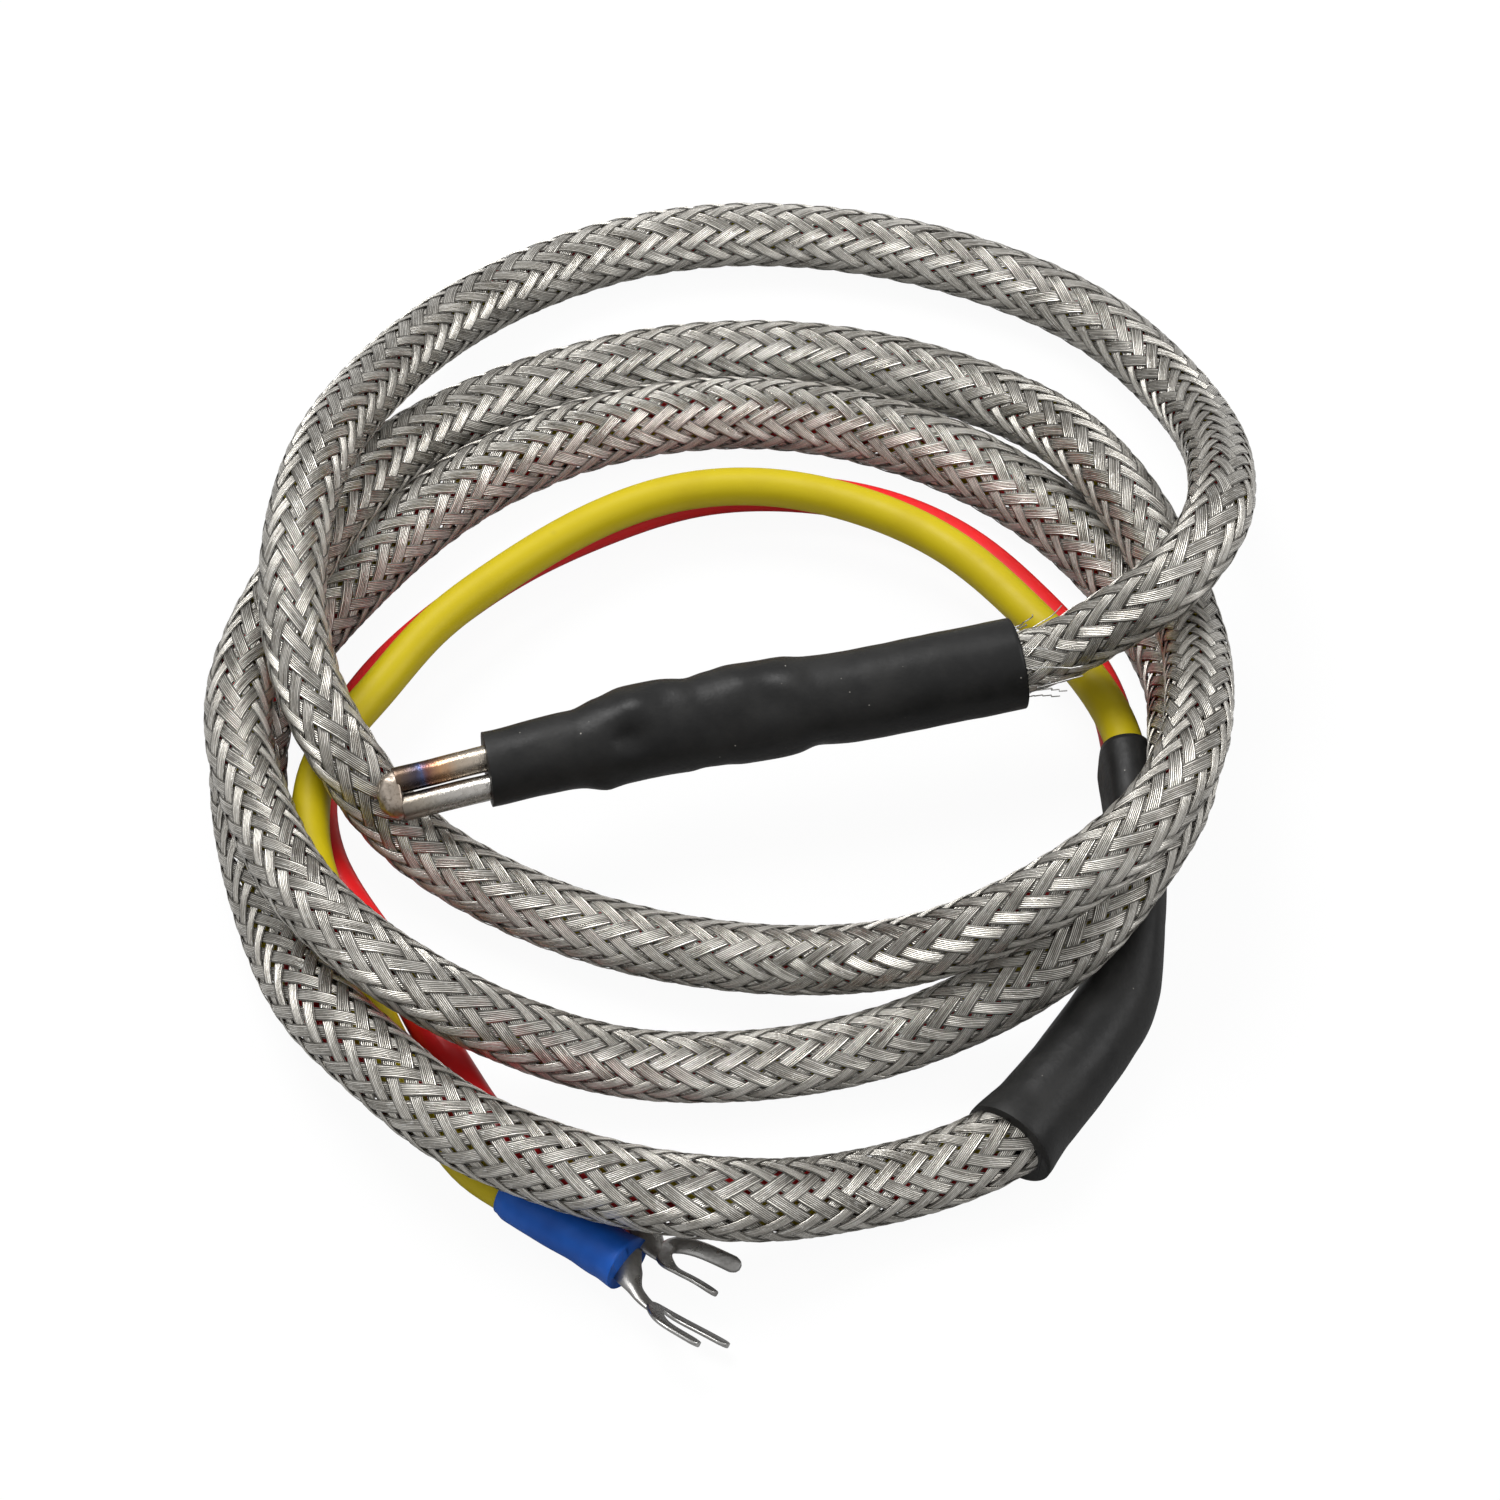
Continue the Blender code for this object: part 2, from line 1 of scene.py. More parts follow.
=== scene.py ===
import logging
import random
from dataclasses import dataclass, field
from enum import Enum
from math import atan2, copysign, cos, exp, hypot, pi, radians, remainder, sin, tanh
from typing import Callable, Sequence

import bmesh
import bpy
import numpy as np
from mathutils import Matrix, Vector, noise


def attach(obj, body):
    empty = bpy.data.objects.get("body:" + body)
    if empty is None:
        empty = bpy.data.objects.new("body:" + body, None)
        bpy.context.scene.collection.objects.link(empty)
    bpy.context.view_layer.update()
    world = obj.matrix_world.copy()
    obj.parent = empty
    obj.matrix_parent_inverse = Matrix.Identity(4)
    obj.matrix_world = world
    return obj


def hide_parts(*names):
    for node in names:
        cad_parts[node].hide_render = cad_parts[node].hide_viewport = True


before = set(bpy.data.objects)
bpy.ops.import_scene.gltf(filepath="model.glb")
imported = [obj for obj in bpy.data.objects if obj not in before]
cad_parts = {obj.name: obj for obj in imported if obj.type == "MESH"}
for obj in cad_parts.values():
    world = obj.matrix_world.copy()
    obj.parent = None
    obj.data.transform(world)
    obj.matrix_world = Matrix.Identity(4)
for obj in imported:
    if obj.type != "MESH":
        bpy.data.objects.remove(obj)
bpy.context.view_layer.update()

log = logging.getLogger("stove_thermocouple")
Solid = bmesh.types.BMesh
Piece = bpy.types.Object
Material = bpy.types.Material
Point = tuple[float, float, float]
Colour = tuple[float, float, float]

MM = 0.001
TOUCH = 1e-7
TURN = 2.0 * pi
UP = Vector((0.0, 0.0, 1.0))
WHITE = (1.0, 1.0, 1.0)
# How far the bench lies under the part's origin
BENCH_DEPTH = 13.2 * MM

# Routes of the cords over the bench, in metres, as the solids have them: X, Y and height
CABLE_ROUTE = (
    (0.014, -0.0002, 0.0132), (0.021, -0.0002, 0.0132), (0.028, -0.0002, 0.0132),
    (0.0345, -0.0002, 0.0132), (0.0385, -0.0001, 0.0138), (0.0435, -0.0002, 0.0167),
    (0.0495, 0.0002, 0.0203), (0.056, 0.005, 0.0216), (0.0605, 0.014, 0.0182), (0.063, 0.023, 0.0128),
    (0.064, 0.0315, 0.0082), (0.063, 0.0415, 0.0048), (0.059, 0.0515, 0.0036), (0.05, 0.0615, 0.0035),
    (0.034, 0.0715, 0.0035), (0.0165, 0.076, 0.0035), (-0.0015, 0.0735, 0.004), (-0.014, 0.0655, 0.0072),
    (-0.023, 0.055, 0.0122), (-0.03, 0.044, 0.0168), (-0.035, 0.033, 0.0184), (-0.038, 0.0215, 0.0172),
    (-0.0376, 0.012, 0.0138), (-0.0357, 0.0062, 0.0113), (-0.0326, 0.0015, 0.007),
    (-0.0245, -0.0075, 0.004), (-0.0095, -0.019, 0.0038), (0.0068, -0.0275, 0.0068),
    (0.0158, -0.0316, 0.0116), (0.0261, -0.033, 0.0175), (0.037, -0.0303, 0.0217),
    (0.0453, -0.0221, 0.0215), (0.0495, -0.0125, 0.0186), (0.0526, -0.0015, 0.013),
    (0.0535, 0.0095, 0.0109), (0.0525, 0.0205, 0.0104), (0.05, 0.0315, 0.0082), (0.0445, 0.043, 0.0044),
    (0.0345, 0.0515, 0.0035), (0.02, 0.0575, 0.0035), (0.0025, 0.059, 0.0035), (-0.0145, 0.055, 0.0044),
    (-0.0277, 0.0436, 0.0093), (-0.038, 0.0305, 0.011), (-0.0455, 0.016, 0.0114),
    (-0.046, 0.0015, 0.0116), (-0.0435, -0.0115, 0.0134), (-0.0365, -0.0225, 0.0128),
    (-0.0265, -0.0285, 0.0076), (-0.016, -0.0325, 0.0039), (-0.0075, -0.035, 0.0035),
    (0.0095, -0.0365, 0.0038), (0.019, -0.0365, 0.0066), (0.029, -0.035, 0.011), (0.038, -0.029, 0.014),
    (0.045, -0.0205, 0.0129), (0.049, -0.0105, 0.0096), (0.052, 0.0, 0.0046), (0.051, 0.013, 0.0035),
    (0.046, 0.026, 0.0035), (0.035, 0.0395, 0.0035), (0.0205, 0.048, 0.0035), (0.0025, 0.0505, 0.0035),
    (-0.015, 0.046, 0.0035), (-0.03, 0.036, 0.0035), (-0.0423, 0.0227, 0.0035), (-0.0465, 0.006, 0.0035),
    (-0.0465, -0.0085, 0.0042), (-0.045, -0.0195, 0.0068), (-0.0405, -0.03, 0.0086),
    (-0.036, -0.0375, 0.0089), (-0.0295, -0.0443, 0.0095), (-0.0222, -0.0497, 0.0097),
    (-0.015, -0.0529, 0.0091), (-0.0066, -0.0539, 0.0066), (0.0024, -0.0532, 0.004),
    (0.0116, -0.0527, 0.0038), (0.0195, -0.051, 0.0049), (0.0244, -0.0472, 0.0049),
    (0.029, -0.043, 0.0049),
)
TAIL_ROUTE = (
    (0.0195, -0.051, 0.0049), (0.0272, -0.0447, 0.0049), (0.0343, -0.0373, 0.0049),
    (0.039, -0.0282, 0.0049), (0.0415, -0.0179, 0.0049), (0.0434, -0.0075, 0.0049),
)
YELLOW_ROUTE = (
    (0.039, -0.0282, 0.00705), (0.0415, -0.0179, 0.00705), (0.0433, -0.008, 0.007),
    (0.0424, 0.001, 0.0065), (0.0386, 0.012, 0.0063), (0.0335, 0.022, 0.0064), (0.026, 0.03, 0.0064),
    (0.017, 0.0353, 0.0064), (0.0067, 0.0372, 0.0064), (-0.0036, 0.0354, 0.0063),
    (-0.014, 0.0308, 0.0065), (-0.0232, 0.0254, 0.0064), (-0.031, 0.0184, 0.0063),
    (-0.0374, 0.012, 0.0064), (-0.0408, 0.004, 0.0067), (-0.0416, -0.0045, 0.007),
    (-0.0403, -0.013, 0.0052), (-0.039, -0.0215, 0.0029), (-0.0372, -0.0293, 0.00215),
    (-0.0357, -0.0355, 0.00225), (-0.0339, -0.0404, 0.0027), (-0.0315, -0.0438, 0.00295),
)
RED_ROUTE = (
    (0.039, -0.0282, 0.00275), (0.0415, -0.0179, 0.00275), (0.0435, -0.008, 0.0027),
    (0.0446, 0.001, 0.0023), (0.0436, 0.0085, 0.00215), (0.0408, 0.0165, 0.00215),
    (0.0365, 0.025, 0.00215), (0.029, 0.0328, 0.00215), (0.02, 0.0374, 0.00215),
    (0.0099, 0.0394, 0.00215), (-0.0004, 0.0382, 0.00215), (-0.0108, 0.0352, 0.00215),
    (-0.0201, 0.0306, 0.00215), (-0.0285, 0.0248, 0.00215), (-0.0353, 0.0172, 0.00215),
    (-0.039, 0.0096, 0.00215), (-0.0397, 0.0015, 0.00215), (-0.0382, -0.006, 0.00215),
    (-0.036, -0.0135, 0.00215), (-0.0343, -0.0222, 0.00215), (-0.0325, -0.0297, 0.00215),
    (-0.0305, -0.0357, 0.00235), (-0.0274, -0.0396, 0.00265),
)


def in_metres(*rows: Sequence[float]) -> tuple[tuple[float, ...], ...]:
    """Return rows of numbers that are given in millimetres."""
    return tuple(tuple(value * MM for value in row) for row in rows)


class Hand(Enum):
    """Which way a braid's strands turn round the cable."""

    RIGHT = 1
    LEFT = -1


def operator(operation: str, swapped: bool = False) -> Callable[["Wire", object], "Wire"]:
    """Return a method that joins a wire and another value.

    Args:
        operation: the Math node's operation.
        swapped: whether the other value comes first.

    Returns:
        The method.
    """

    def method(self: "Wire", other: object) -> "Wire":
        """Return the sum's result."""
        first, second = (other, self) if swapped else (self, other)
        return self.sum(operation, first, second)

    return method


class Wire:
    """A node socket that takes part in sums as a number does."""

    def __init__(self, tree: bpy.types.NodeTree, socket: bpy.types.NodeSocket) -> None:
        """Keep the socket and the tree that it's in."""
        self.tree = tree
        self.socket = socket

    def sum(self, operation: str, first: object, second: object) -> "Wire":
        """Add a Math node.

        Args:
            operation: the node's operation.
            first: its first value or link.
            second: its second value or link.

        Returns:
            The result's socket.
        """
        return add_node(self.tree, "ShaderNodeMath", {"operation": operation}, {0: first, 1: second})

    __add__ = __radd__ = operator("ADD")
    __sub__ = operator("SUBTRACT")
    __rsub__ = operator("SUBTRACT", swapped=True)
    __mul__ = operator("MULTIPLY")
    __truediv__ = operator("DIVIDE")

    def floor(self) -> "Wire":
        """Return the whole number below this."""
        return self.sum("FLOOR", self, 0.0)

    def sine(self) -> "Wire":
        """Return the sine of this."""
        return self.sum("SINE", self, 0.0)

    def clamped(self) -> "Wire":
        """Return this, kept from 0 to 1."""
        return self.sum("MINIMUM", self.sum("MAXIMUM", self, 0.0), 1.0)


def add_node(
    tree: bpy.types.NodeTree,
    kind: str,
    settings: dict[str, object] | None = None,
    sockets: dict[int | str, object] | None = None,
    output: int | str = 0,
) -> Wire:
    """Add a node of any type.

    Args:
        tree: the material's node tree.
        kind: the node's type.
        settings: properties set first. "stops" are a ramp's places and colours.
        sockets: values or links of its inputs, by name or number.
        output: the output that is wanted.

    Returns:
        That output's socket.
    """
    node = tree.nodes.new(kind)
    for name, value in (settings or {}).items():
        if name == "stops":
            ramp = node.color_ramp.elements
            while len(ramp) < len(value):
                ramp.new(0.5)
            for stop, (place, colour) in zip(ramp, value):
                stop.position = place
                stop.color = (*colour, 1.0)
        else:
            setattr(node, name, value)
    for name, value in (sockets or {}).items():
        if isinstance(value, Wire):
            tree.links.new(value.socket, node.inputs[name])
        elif isinstance(value, tuple) and len(value) == 3 and len(node.inputs[name].default_value) == 4:
            node.inputs[name].default_value = (*value, 1.0)
        else:
            node.inputs[name].default_value = value
    return Wire(tree, node.outputs[output])


def link_output(tree: bpy.types.NodeTree, kind: str, shader: Wire) -> None:
    """Link a shader to a new output node of that type."""
    output = tree.nodes.new(kind)
    tree.links.new(shader.socket, output.inputs["Surface"])


class Surface:
    """A material under construction, with the patterns that several finishes use."""

    IOR = 1.5

    def __init__(self, name: str) -> None:
        """Start an empty material of that name."""
        self.material = bpy.data.materials.new(name)
        self.material.use_nodes = True
        self.tree = self.material.node_tree
        self.tree.nodes.clear()

    def node(self, kind: str, *details: object, output: int | str = 0) -> Wire:
        """Add a node to this material, as add_node does."""
        return add_node(self.tree, kind, *details, output=output)

    def place(self) -> Wire:
        """Return the place on the piece, in metres."""
        return self.node("ShaderNodeTexCoord", output="Object")

    def axis(self, vector: Wire, name: str) -> Wire:
        """Return one part of a vector, by the name X, Y or Z."""
        return self.node("ShaderNodeSeparateXYZ", {}, {0: vector}, output=name)

    def vector(self, x: object, y: object, z: object) -> Wire:
        """Return a vector of three values."""
        return self.node("ShaderNodeCombineXYZ", {}, {"X": x, "Y": y, "Z": z})

    def grain(self, vector: Wire, size: float, detail: float = 3.0, roughness: float = 0.55) -> Wire:
        """Return noise.

        Args:
            vector: where it's read.
            size: the size of its patches, in metres.
            detail: how many finer layers it has.
            roughness: how strong those are.

        Returns:
            The noise, about 0.5.
        """
        sockets = {"Vector": vector, "Scale": 1.0 / size, "Detail": detail, "Roughness": roughness}
        return self.node("ShaderNodeTexNoise", {}, sockets, output="Fac")

    def specks(self, vector: Wire, spacing: float, radius: float) -> Wire:
        """Return 1 in small scattered spots, and less towards their edges."""
        sockets = {"Vector": vector, "Scale": 1.0 / spacing, "Randomness": 1.0}
        distance = self.node("ShaderNodeTexVoronoi", {}, sockets, output="Distance")
        return (1.0 - distance * (spacing / radius)).clamped()

    def ramp(self, value: Wire, stops: Sequence[tuple[float, Colour]]) -> Wire:
        """Return the colour that a value has on a ramp."""
        return self.node("ShaderNodeValToRGB", {"stops": list(stops)}, {0: value})

    def level(self, value: Wire, low: float, high: float) -> Wire:
        """Return a value stretched so that low becomes 0 and high becomes 1."""
        return ((value - low) / (high - low)).clamped()

    def blend(self, share: object, first: object, second: object) -> Wire:
        """Return a mix of two colours, by the share of the second."""
        return self.node("ShaderNodeMix", {"data_type": "RGBA"}, {0: share, 6: first, 7: second}, output=2)

    def relief(self, height: Wire, depth: float, strength: float = 1.0) -> Wire:
        """Return a normal that shows a height of that depth, in metres."""
        return self.node("ShaderNodeBump", {}, {"Height": height, "Distance": depth, "Strength": strength})

    def finish(self, **inputs: object) -> Material:
        """Add the shader.

        Args:
            inputs: its sockets' values or links, with _ for the spaces in their names.

        Returns:
            The finished material.
        """
        sockets = {name.replace("_", " "): value for name, value in inputs.items()}
        shader = self.node("ShaderNodeBsdfPrincipled", {}, {"IOR": self.IOR, **sockets})
        link_output(self.tree, "ShaderNodeOutputMaterial", shader)
        return self.material


@dataclass(frozen=True)
class BraidFinish:
    """Fine bright wires that lie side by side in each ribbon of the braid."""

    wires: int = 8
    light: Colour = (0.86, 0.83, 0.765)
    dull: Colour = (0.30, 0.28, 0.245)
    # painted shade: the dark colour laid into the grooves between wires, along each ribbon's edges and in
    # small flecks
    painted_shade: Colour = (0.03, 0.025, 0.02)
    # painted glint: bright flecks that stand in for highlights on the wires
    painted_glint: Colour = (0.95, 0.94, 0.90)
    tones_per_metre: float = 190.0
    nicks_and_glints_per_metre: float = 1700.0
    patch: float = 4.0 * MM
    metal: float = 0.88
    depth: float = 0.09 * MM

    def make(self, name: str) -> Material:
        """Return the material."""
        s = Surface(name)
        uv = s.node("ShaderNodeUVMap", {"uv_map": "ribbon"})
        turned = s.axis(uv, "X")
        across = turned - turned.floor()
        along = s.axis(uv, "Y")
        thread = turned * float(self.wires)
        wire = thread.floor()
        ridge = ((thread - wire) * pi).sine()
        tone = s.grain(s.vector(wire * 3.71, along * self.tones_per_metre, 0.0), 1.0, 2.0)
        # fine noise: relief of small nicks, and the places of painted glints and painted shade flecks
        nicks_and_glints = s.grain(s.vector(wire * 5.13, along * self.nicks_and_glints_per_metre, 4.0), 1.0, 2.0)
        patch = s.grain(s.place(), self.patch, 2.0)
        bright = (s.level(tone, 0.34, 0.66) * 0.7 + s.level(patch, 0.36, 0.64) * 0.4).clamped()
        colour = s.blend(bright, self.dull, self.light)
        # painted glints where the fine noise is high
        colour = s.blend(s.level(nicks_and_glints, 0.56, 0.70) * 0.7, colour, self.painted_glint)
        # painted shade in small dark flecks where the fine noise is low
        colour = s.blend(s.level(nicks_and_glints, 0.42, 0.28) * 0.3, colour, self.painted_shade)
        # painted shade in the grooves between neighbouring wires of a ribbon
        colour = s.blend(s.level(ridge, 0.05, 0.6) * 0.95 + 0.05, self.painted_shade, colour)
        # painted shade along both edges of each ribbon, where it meets the ribbons beside it
        edge = (s.level(across, 0.01, 0.11) * s.level(across, 0.99, 0.89)).clamped()
        colour = s.blend(edge, self.painted_shade, colour)
        rough = 0.22 + s.level(tone, 0.3, 0.7) * 0.18
        normal = s.relief(ridge + nicks_and_glints * 0.3, self.depth)
        return s.finish(Base_Color=colour, Metallic=self.metal, Roughness=rough, Normal=normal)


@dataclass(frozen=True)
class InsulationFinish:
    """Coloured plastic with faint stains and handling marks."""

    colour: Colour
    stain: Colour
    rough: float = 0.46
    gloss: float = 0.22
    depth: float = 0.05 * MM

    def make(self, name: str) -> Material:
        """Return the material."""
        s = Surface(name)
        place = s.place()
        wide = s.level(s.grain(place, 7.0 * MM, 4.0, 0.6), 0.46, 0.74)
        fine = s.grain(place, 0.7 * MM, 3.0)
        marks = s.specks(place, 2.6 * MM, 0.55 * MM) * s.level(s.grain(place, 4.0 * MM), 0.5, 0.65)
        colour = s.blend(wide * 0.45, self.colour, self.stain)
        colour = s.blend(marks * 0.25, colour, (0.05, 0.035, 0.02))
        rough = self.rough + (fine - 0.5) * 0.25 + wide * 0.1
        height = fine * 0.35 + s.grain(place, 3.0 * MM, 1.0)
        normal = s.relief(height, self.depth, 0.6)
        return s.finish(Base_Color=colour, Roughness=rough, Normal=normal, Specular_IOR_Level=self.gloss)


@dataclass(frozen=True)
class SleeveFinish:
    """Black shrink tube, satin, with dust and rubbed places."""

    colour: Colour = (0.010, 0.010, 0.010)
    rubbed: Colour = (0.024, 0.0235, 0.0225)
    dust: Colour = (0.42, 0.40, 0.36)
    rough: float = 0.40
    gloss: float = 0.2
    depth: float = 0.09 * MM

    def make(self, name: str) -> Material:
        """Return the material."""
        s = Surface(name)
        place = s.place()
        cloud = s.level(s.grain(place, 6.0 * MM, 5.0, 0.65), 0.42, 0.75)
        fine = s.grain(place, 0.35 * MM, 3.0)
        some = s.level(s.grain(place, 5.0 * MM, 2.0), 0.47, 0.58)
        dust = s.specks(place, 1.6 * MM, 0.12 * MM) * some
        colour = s.blend(cloud * 0.7, self.colour, self.rubbed)
        colour = s.blend(s.level(dust, 0.1, 0.7) * 0.75, colour, self.dust)
        rough = self.rough + cloud * 0.16 + (fine - 0.5) * 0.2
        height = fine * 0.3 + s.grain(place, 2.2 * MM, 2.0)
        normal = s.relief(height, self.depth, 0.7)
        return s.finish(Base_Color=colour, Roughness=rough, Normal=normal, Specular_IOR_Level=self.gloss)


@dataclass(frozen=True)
class HeatTintFinish:
    """A metal rod that the weld has coloured near its tip."""

    stops: tuple[tuple[float, Colour], ...]
    start: float = -33.2 * MM
    length: float = 11.5 * MM
    rough: float = 0.2
    dirt: float = 0.4
    depth: float = 0.06 * MM

    def make(self, name: str) -> Material:
        """Return the material."""
        s = Surface(name)
        place = s.place()
        wander = (s.grain(place, 2.4 * MM, 3.0) - 0.5) * 0.22
        run = (s.axis(place, "X") - self.start) / self.length + wander
        fine = s.grain(place, 0.45 * MM, 4.0, 0.65)
        dark = s.level(fine, 0.5, 0.75)
        colour = s.blend(dark * self.dirt, s.ramp(run, self.stops), (0.10, 0.08, 0.06))
        rough = self.rough + dark * 0.2 + (0.5 - s.level(run, 0.0, 0.6) * 0.5) * 0.2
        normal = s.relief(fine + s.grain(place, 1.6 * MM, 2.0), self.depth, 0.6)
        return s.finish(Base_Color=colour, Metallic=1.0, Roughness=rough, Normal=normal)


@dataclass(frozen=True)
class BootFinish:
    """Soft glossy plastic, a little darker in broad random patches."""

    colour: Colour
    deep: Colour
    rough: float = 0.38
    gloss: float = 0.2
    depth: float = 0.12 * MM

    def make(self, name: str) -> Material:
        """Return the material."""
        s = Surface(name)
        place = s.place()
        wide = s.level(s.grain(place, 4.0 * MM, 2.0), 0.35, 0.7)
        fine = s.grain(place, 0.8 * MM, 2.0)
        colour = s.blend(wide, self.colour, self.deep)
        normal = s.relief(fine * 0.4 + s.grain(place, 3.5 * MM, 1.0), self.depth, 0.6)
        rough = self.rough + wide * 0.12
        return s.finish(Base_Color=colour, Roughness=rough, Normal=normal, Specular_IOR_Level=self.gloss)


@dataclass(frozen=True)
class MetalFinish:
    """Plated or bare sheet and wire, with fine marks."""

    colour: Colour
    worn: Colour
    rough: float = 0.3
    depth: float = 0.03 * MM

    def make(self, name: str) -> Material:
        """Return the material."""
        s = Surface(name)
        place = s.place()
        wide = s.level(s.grain(place, 2.2 * MM, 4.0, 0.6), 0.42, 0.72)
        fine = s.grain(place, 0.3 * MM, 3.0)
        colour = s.blend(wide * 0.8, self.colour, self.worn)
        normal = s.relief(fine, self.depth, 0.7)
        return s.finish(Base_Color=colour, Metallic=1.0, Roughness=self.rough + wide * 0.2, Normal=normal)


@dataclass(frozen=True)
class FloorFinish:
    """A white sheet that fades into the background and keeps the shadow."""

    shadow: float = 0.11
    dark: Colour = (0.42, 0.42, 0.42)
    pale: Colour = (0.44, 0.44, 0.44)
    glow: float = 1.06

    def make(self, name: str) -> Material:
        """Return the material."""
        s = Surface(name)
        shade = s.blend(s.grain(s.place(), 60.0 * MM, 2.0), self.dark, self.pale)
        matt = s.node("ShaderNodeBsdfDiffuse", {}, {"Color": shade})
        glow = s.node("ShaderNodeEmission", {}, {"Color": WHITE, "Strength": self.glow})
        seen = s.node("ShaderNodeLightPath", output="Is Camera Ray")
        mixed = s.node("ShaderNodeMixShader", {}, {0: seen * (1.0 - self.shadow), 1: matt, 2: glow})
        link_output(s.tree, "ShaderNodeOutputMaterial", mixed)
        return s.material


@dataclass(frozen=True)
class Profile:
    """A value that runs smoothly between measured places."""

    stops: tuple[tuple[float, float], ...]

    def at(self, place: float) -> float:
        """Return the value at a place."""
        before = self.stops[0]
        for stop in self.stops:
            if place <= stop[0]:
                if stop is before:
                    return stop[1]
                t = (place - before[0]) / (stop[0] - before[0])
                return before[1] + (stop[1] - before[1]) * t * t * (3.0 - 2.0 * t)
            before = stop
        return before[1]


def upright_frame(place: Vector, along: Vector, roll: float = 0.0) -> Matrix:
    """Return a matrix whose X runs along a direction.

    Args:
        place: its origin.
        along: the direction.
        roll: its turn about X, from where Y is level.

    Returns:
        The matrix.
    """
    x_axis = along.normalized()
    y_axis = UP.cross(x_axis).normalized()
    turned = Matrix((x_axis, y_axis, x_axis.cross(y_axis))).transposed().to_4x4()
    return Matrix.Translation(place) @ turned @ Matrix.Rotation(roll, 4, "X")


class Route:
    """A smooth line through given points, with a frame at each even step."""

    def __init__(self, points: Sequence[Point], step: float, level: bool = False) -> None:
        """Lay the line.

        Args:
            points: X, Y and height above the bench, in metres.
            step: the spacing of the frames to aim for, in metres.
            level: whether the frames' sides stay level, and don't turn as little as they can.
        """
        dense = self.spline(np.array(points, dtype=float))
        dense[:, 2] -= BENCH_DEPTH
        runs = np.concatenate(([0.0], np.cumsum(np.linalg.norm(np.diff(dense, axis=0), axis=1))))
        self.length = float(runs[-1])
        self.cuts = max(2, round(self.length / step))
        self.step = self.length / self.cuts
        wanted = np.linspace(0.0, self.length, self.cuts + 1)
        even = np.stack([np.interp(wanted, runs, dense[:, i]) for i in range(3)], axis=1)
        self.points = [Vector(place) for place in even.tolist()]
        self.frames = self.frames_along(level)

    @staticmethod
    def spline(nodes: np.ndarray) -> np.ndarray:
        """Return many points on the natural cubic spline through some."""
        chord = np.linalg.norm(np.diff(nodes, axis=0), axis=1)
        matrix = np.eye(len(nodes))
        right = np.zeros_like(nodes)
        for i in range(1, len(nodes) - 1):
            before, after = chord[i - 1], chord[i]
            matrix[i, i - 1:i + 2] = before, 2.0 * (before + after), after
            right[i] = 6.0 * ((nodes[i + 1] - nodes[i]) / after - (nodes[i] - nodes[i - 1]) / before)
        bend = np.linalg.solve(matrix, right)
        dense = []
        for i, span in enumerate(chord):
            t = np.linspace(0.0, span, 40, endpoint=False)[:, None]
            back = span - t
            value = (bend[i] * back ** 3 + bend[i + 1] * t ** 3) / (6.0 * span)
            value = value + (nodes[i] / span - bend[i] * span / 6.0) * back
            value = value + (nodes[i + 1] / span - bend[i + 1] * span / 6.0) * t
            dense.append(value)
        return np.concatenate(dense + [nodes[-1:]])

    def direction(self, i: int) -> Vector:
        """Return the way that the line runs at a step."""
        ahead = self.points[min(i + 1, self.cuts)]
        return (ahead - self.points[max(i - 1, 0)]).normalized()

    def frames_along(self, level: bool) -> list[tuple[Vector, Vector, Vector]]:
        """Return a frame at each step, with level sides or with as little turn as there can be.

        Args:
            level: whether the sides are level.

        Returns:
            The place, side and rise of each.
        """
        side = UP.cross(self.direction(0))
        frames = []
        for i, place in enumerate(self.points):
            along = self.direction(i)
            side = (UP.cross(along) if level else side - along * side.dot(along)).normalized()
            frames.append((place, side, along.cross(side)))
        return frames

    def at(self, run: float, side: float, rise: float) -> Vector:
        """Return the point that is some way along the line and off it."""
        place, across, up = self.frames[min(self.cuts, max(0, round(run / self.step)))]
        return place + across * side + up * rise


Former = Callable[[float, float, bool], Vector]


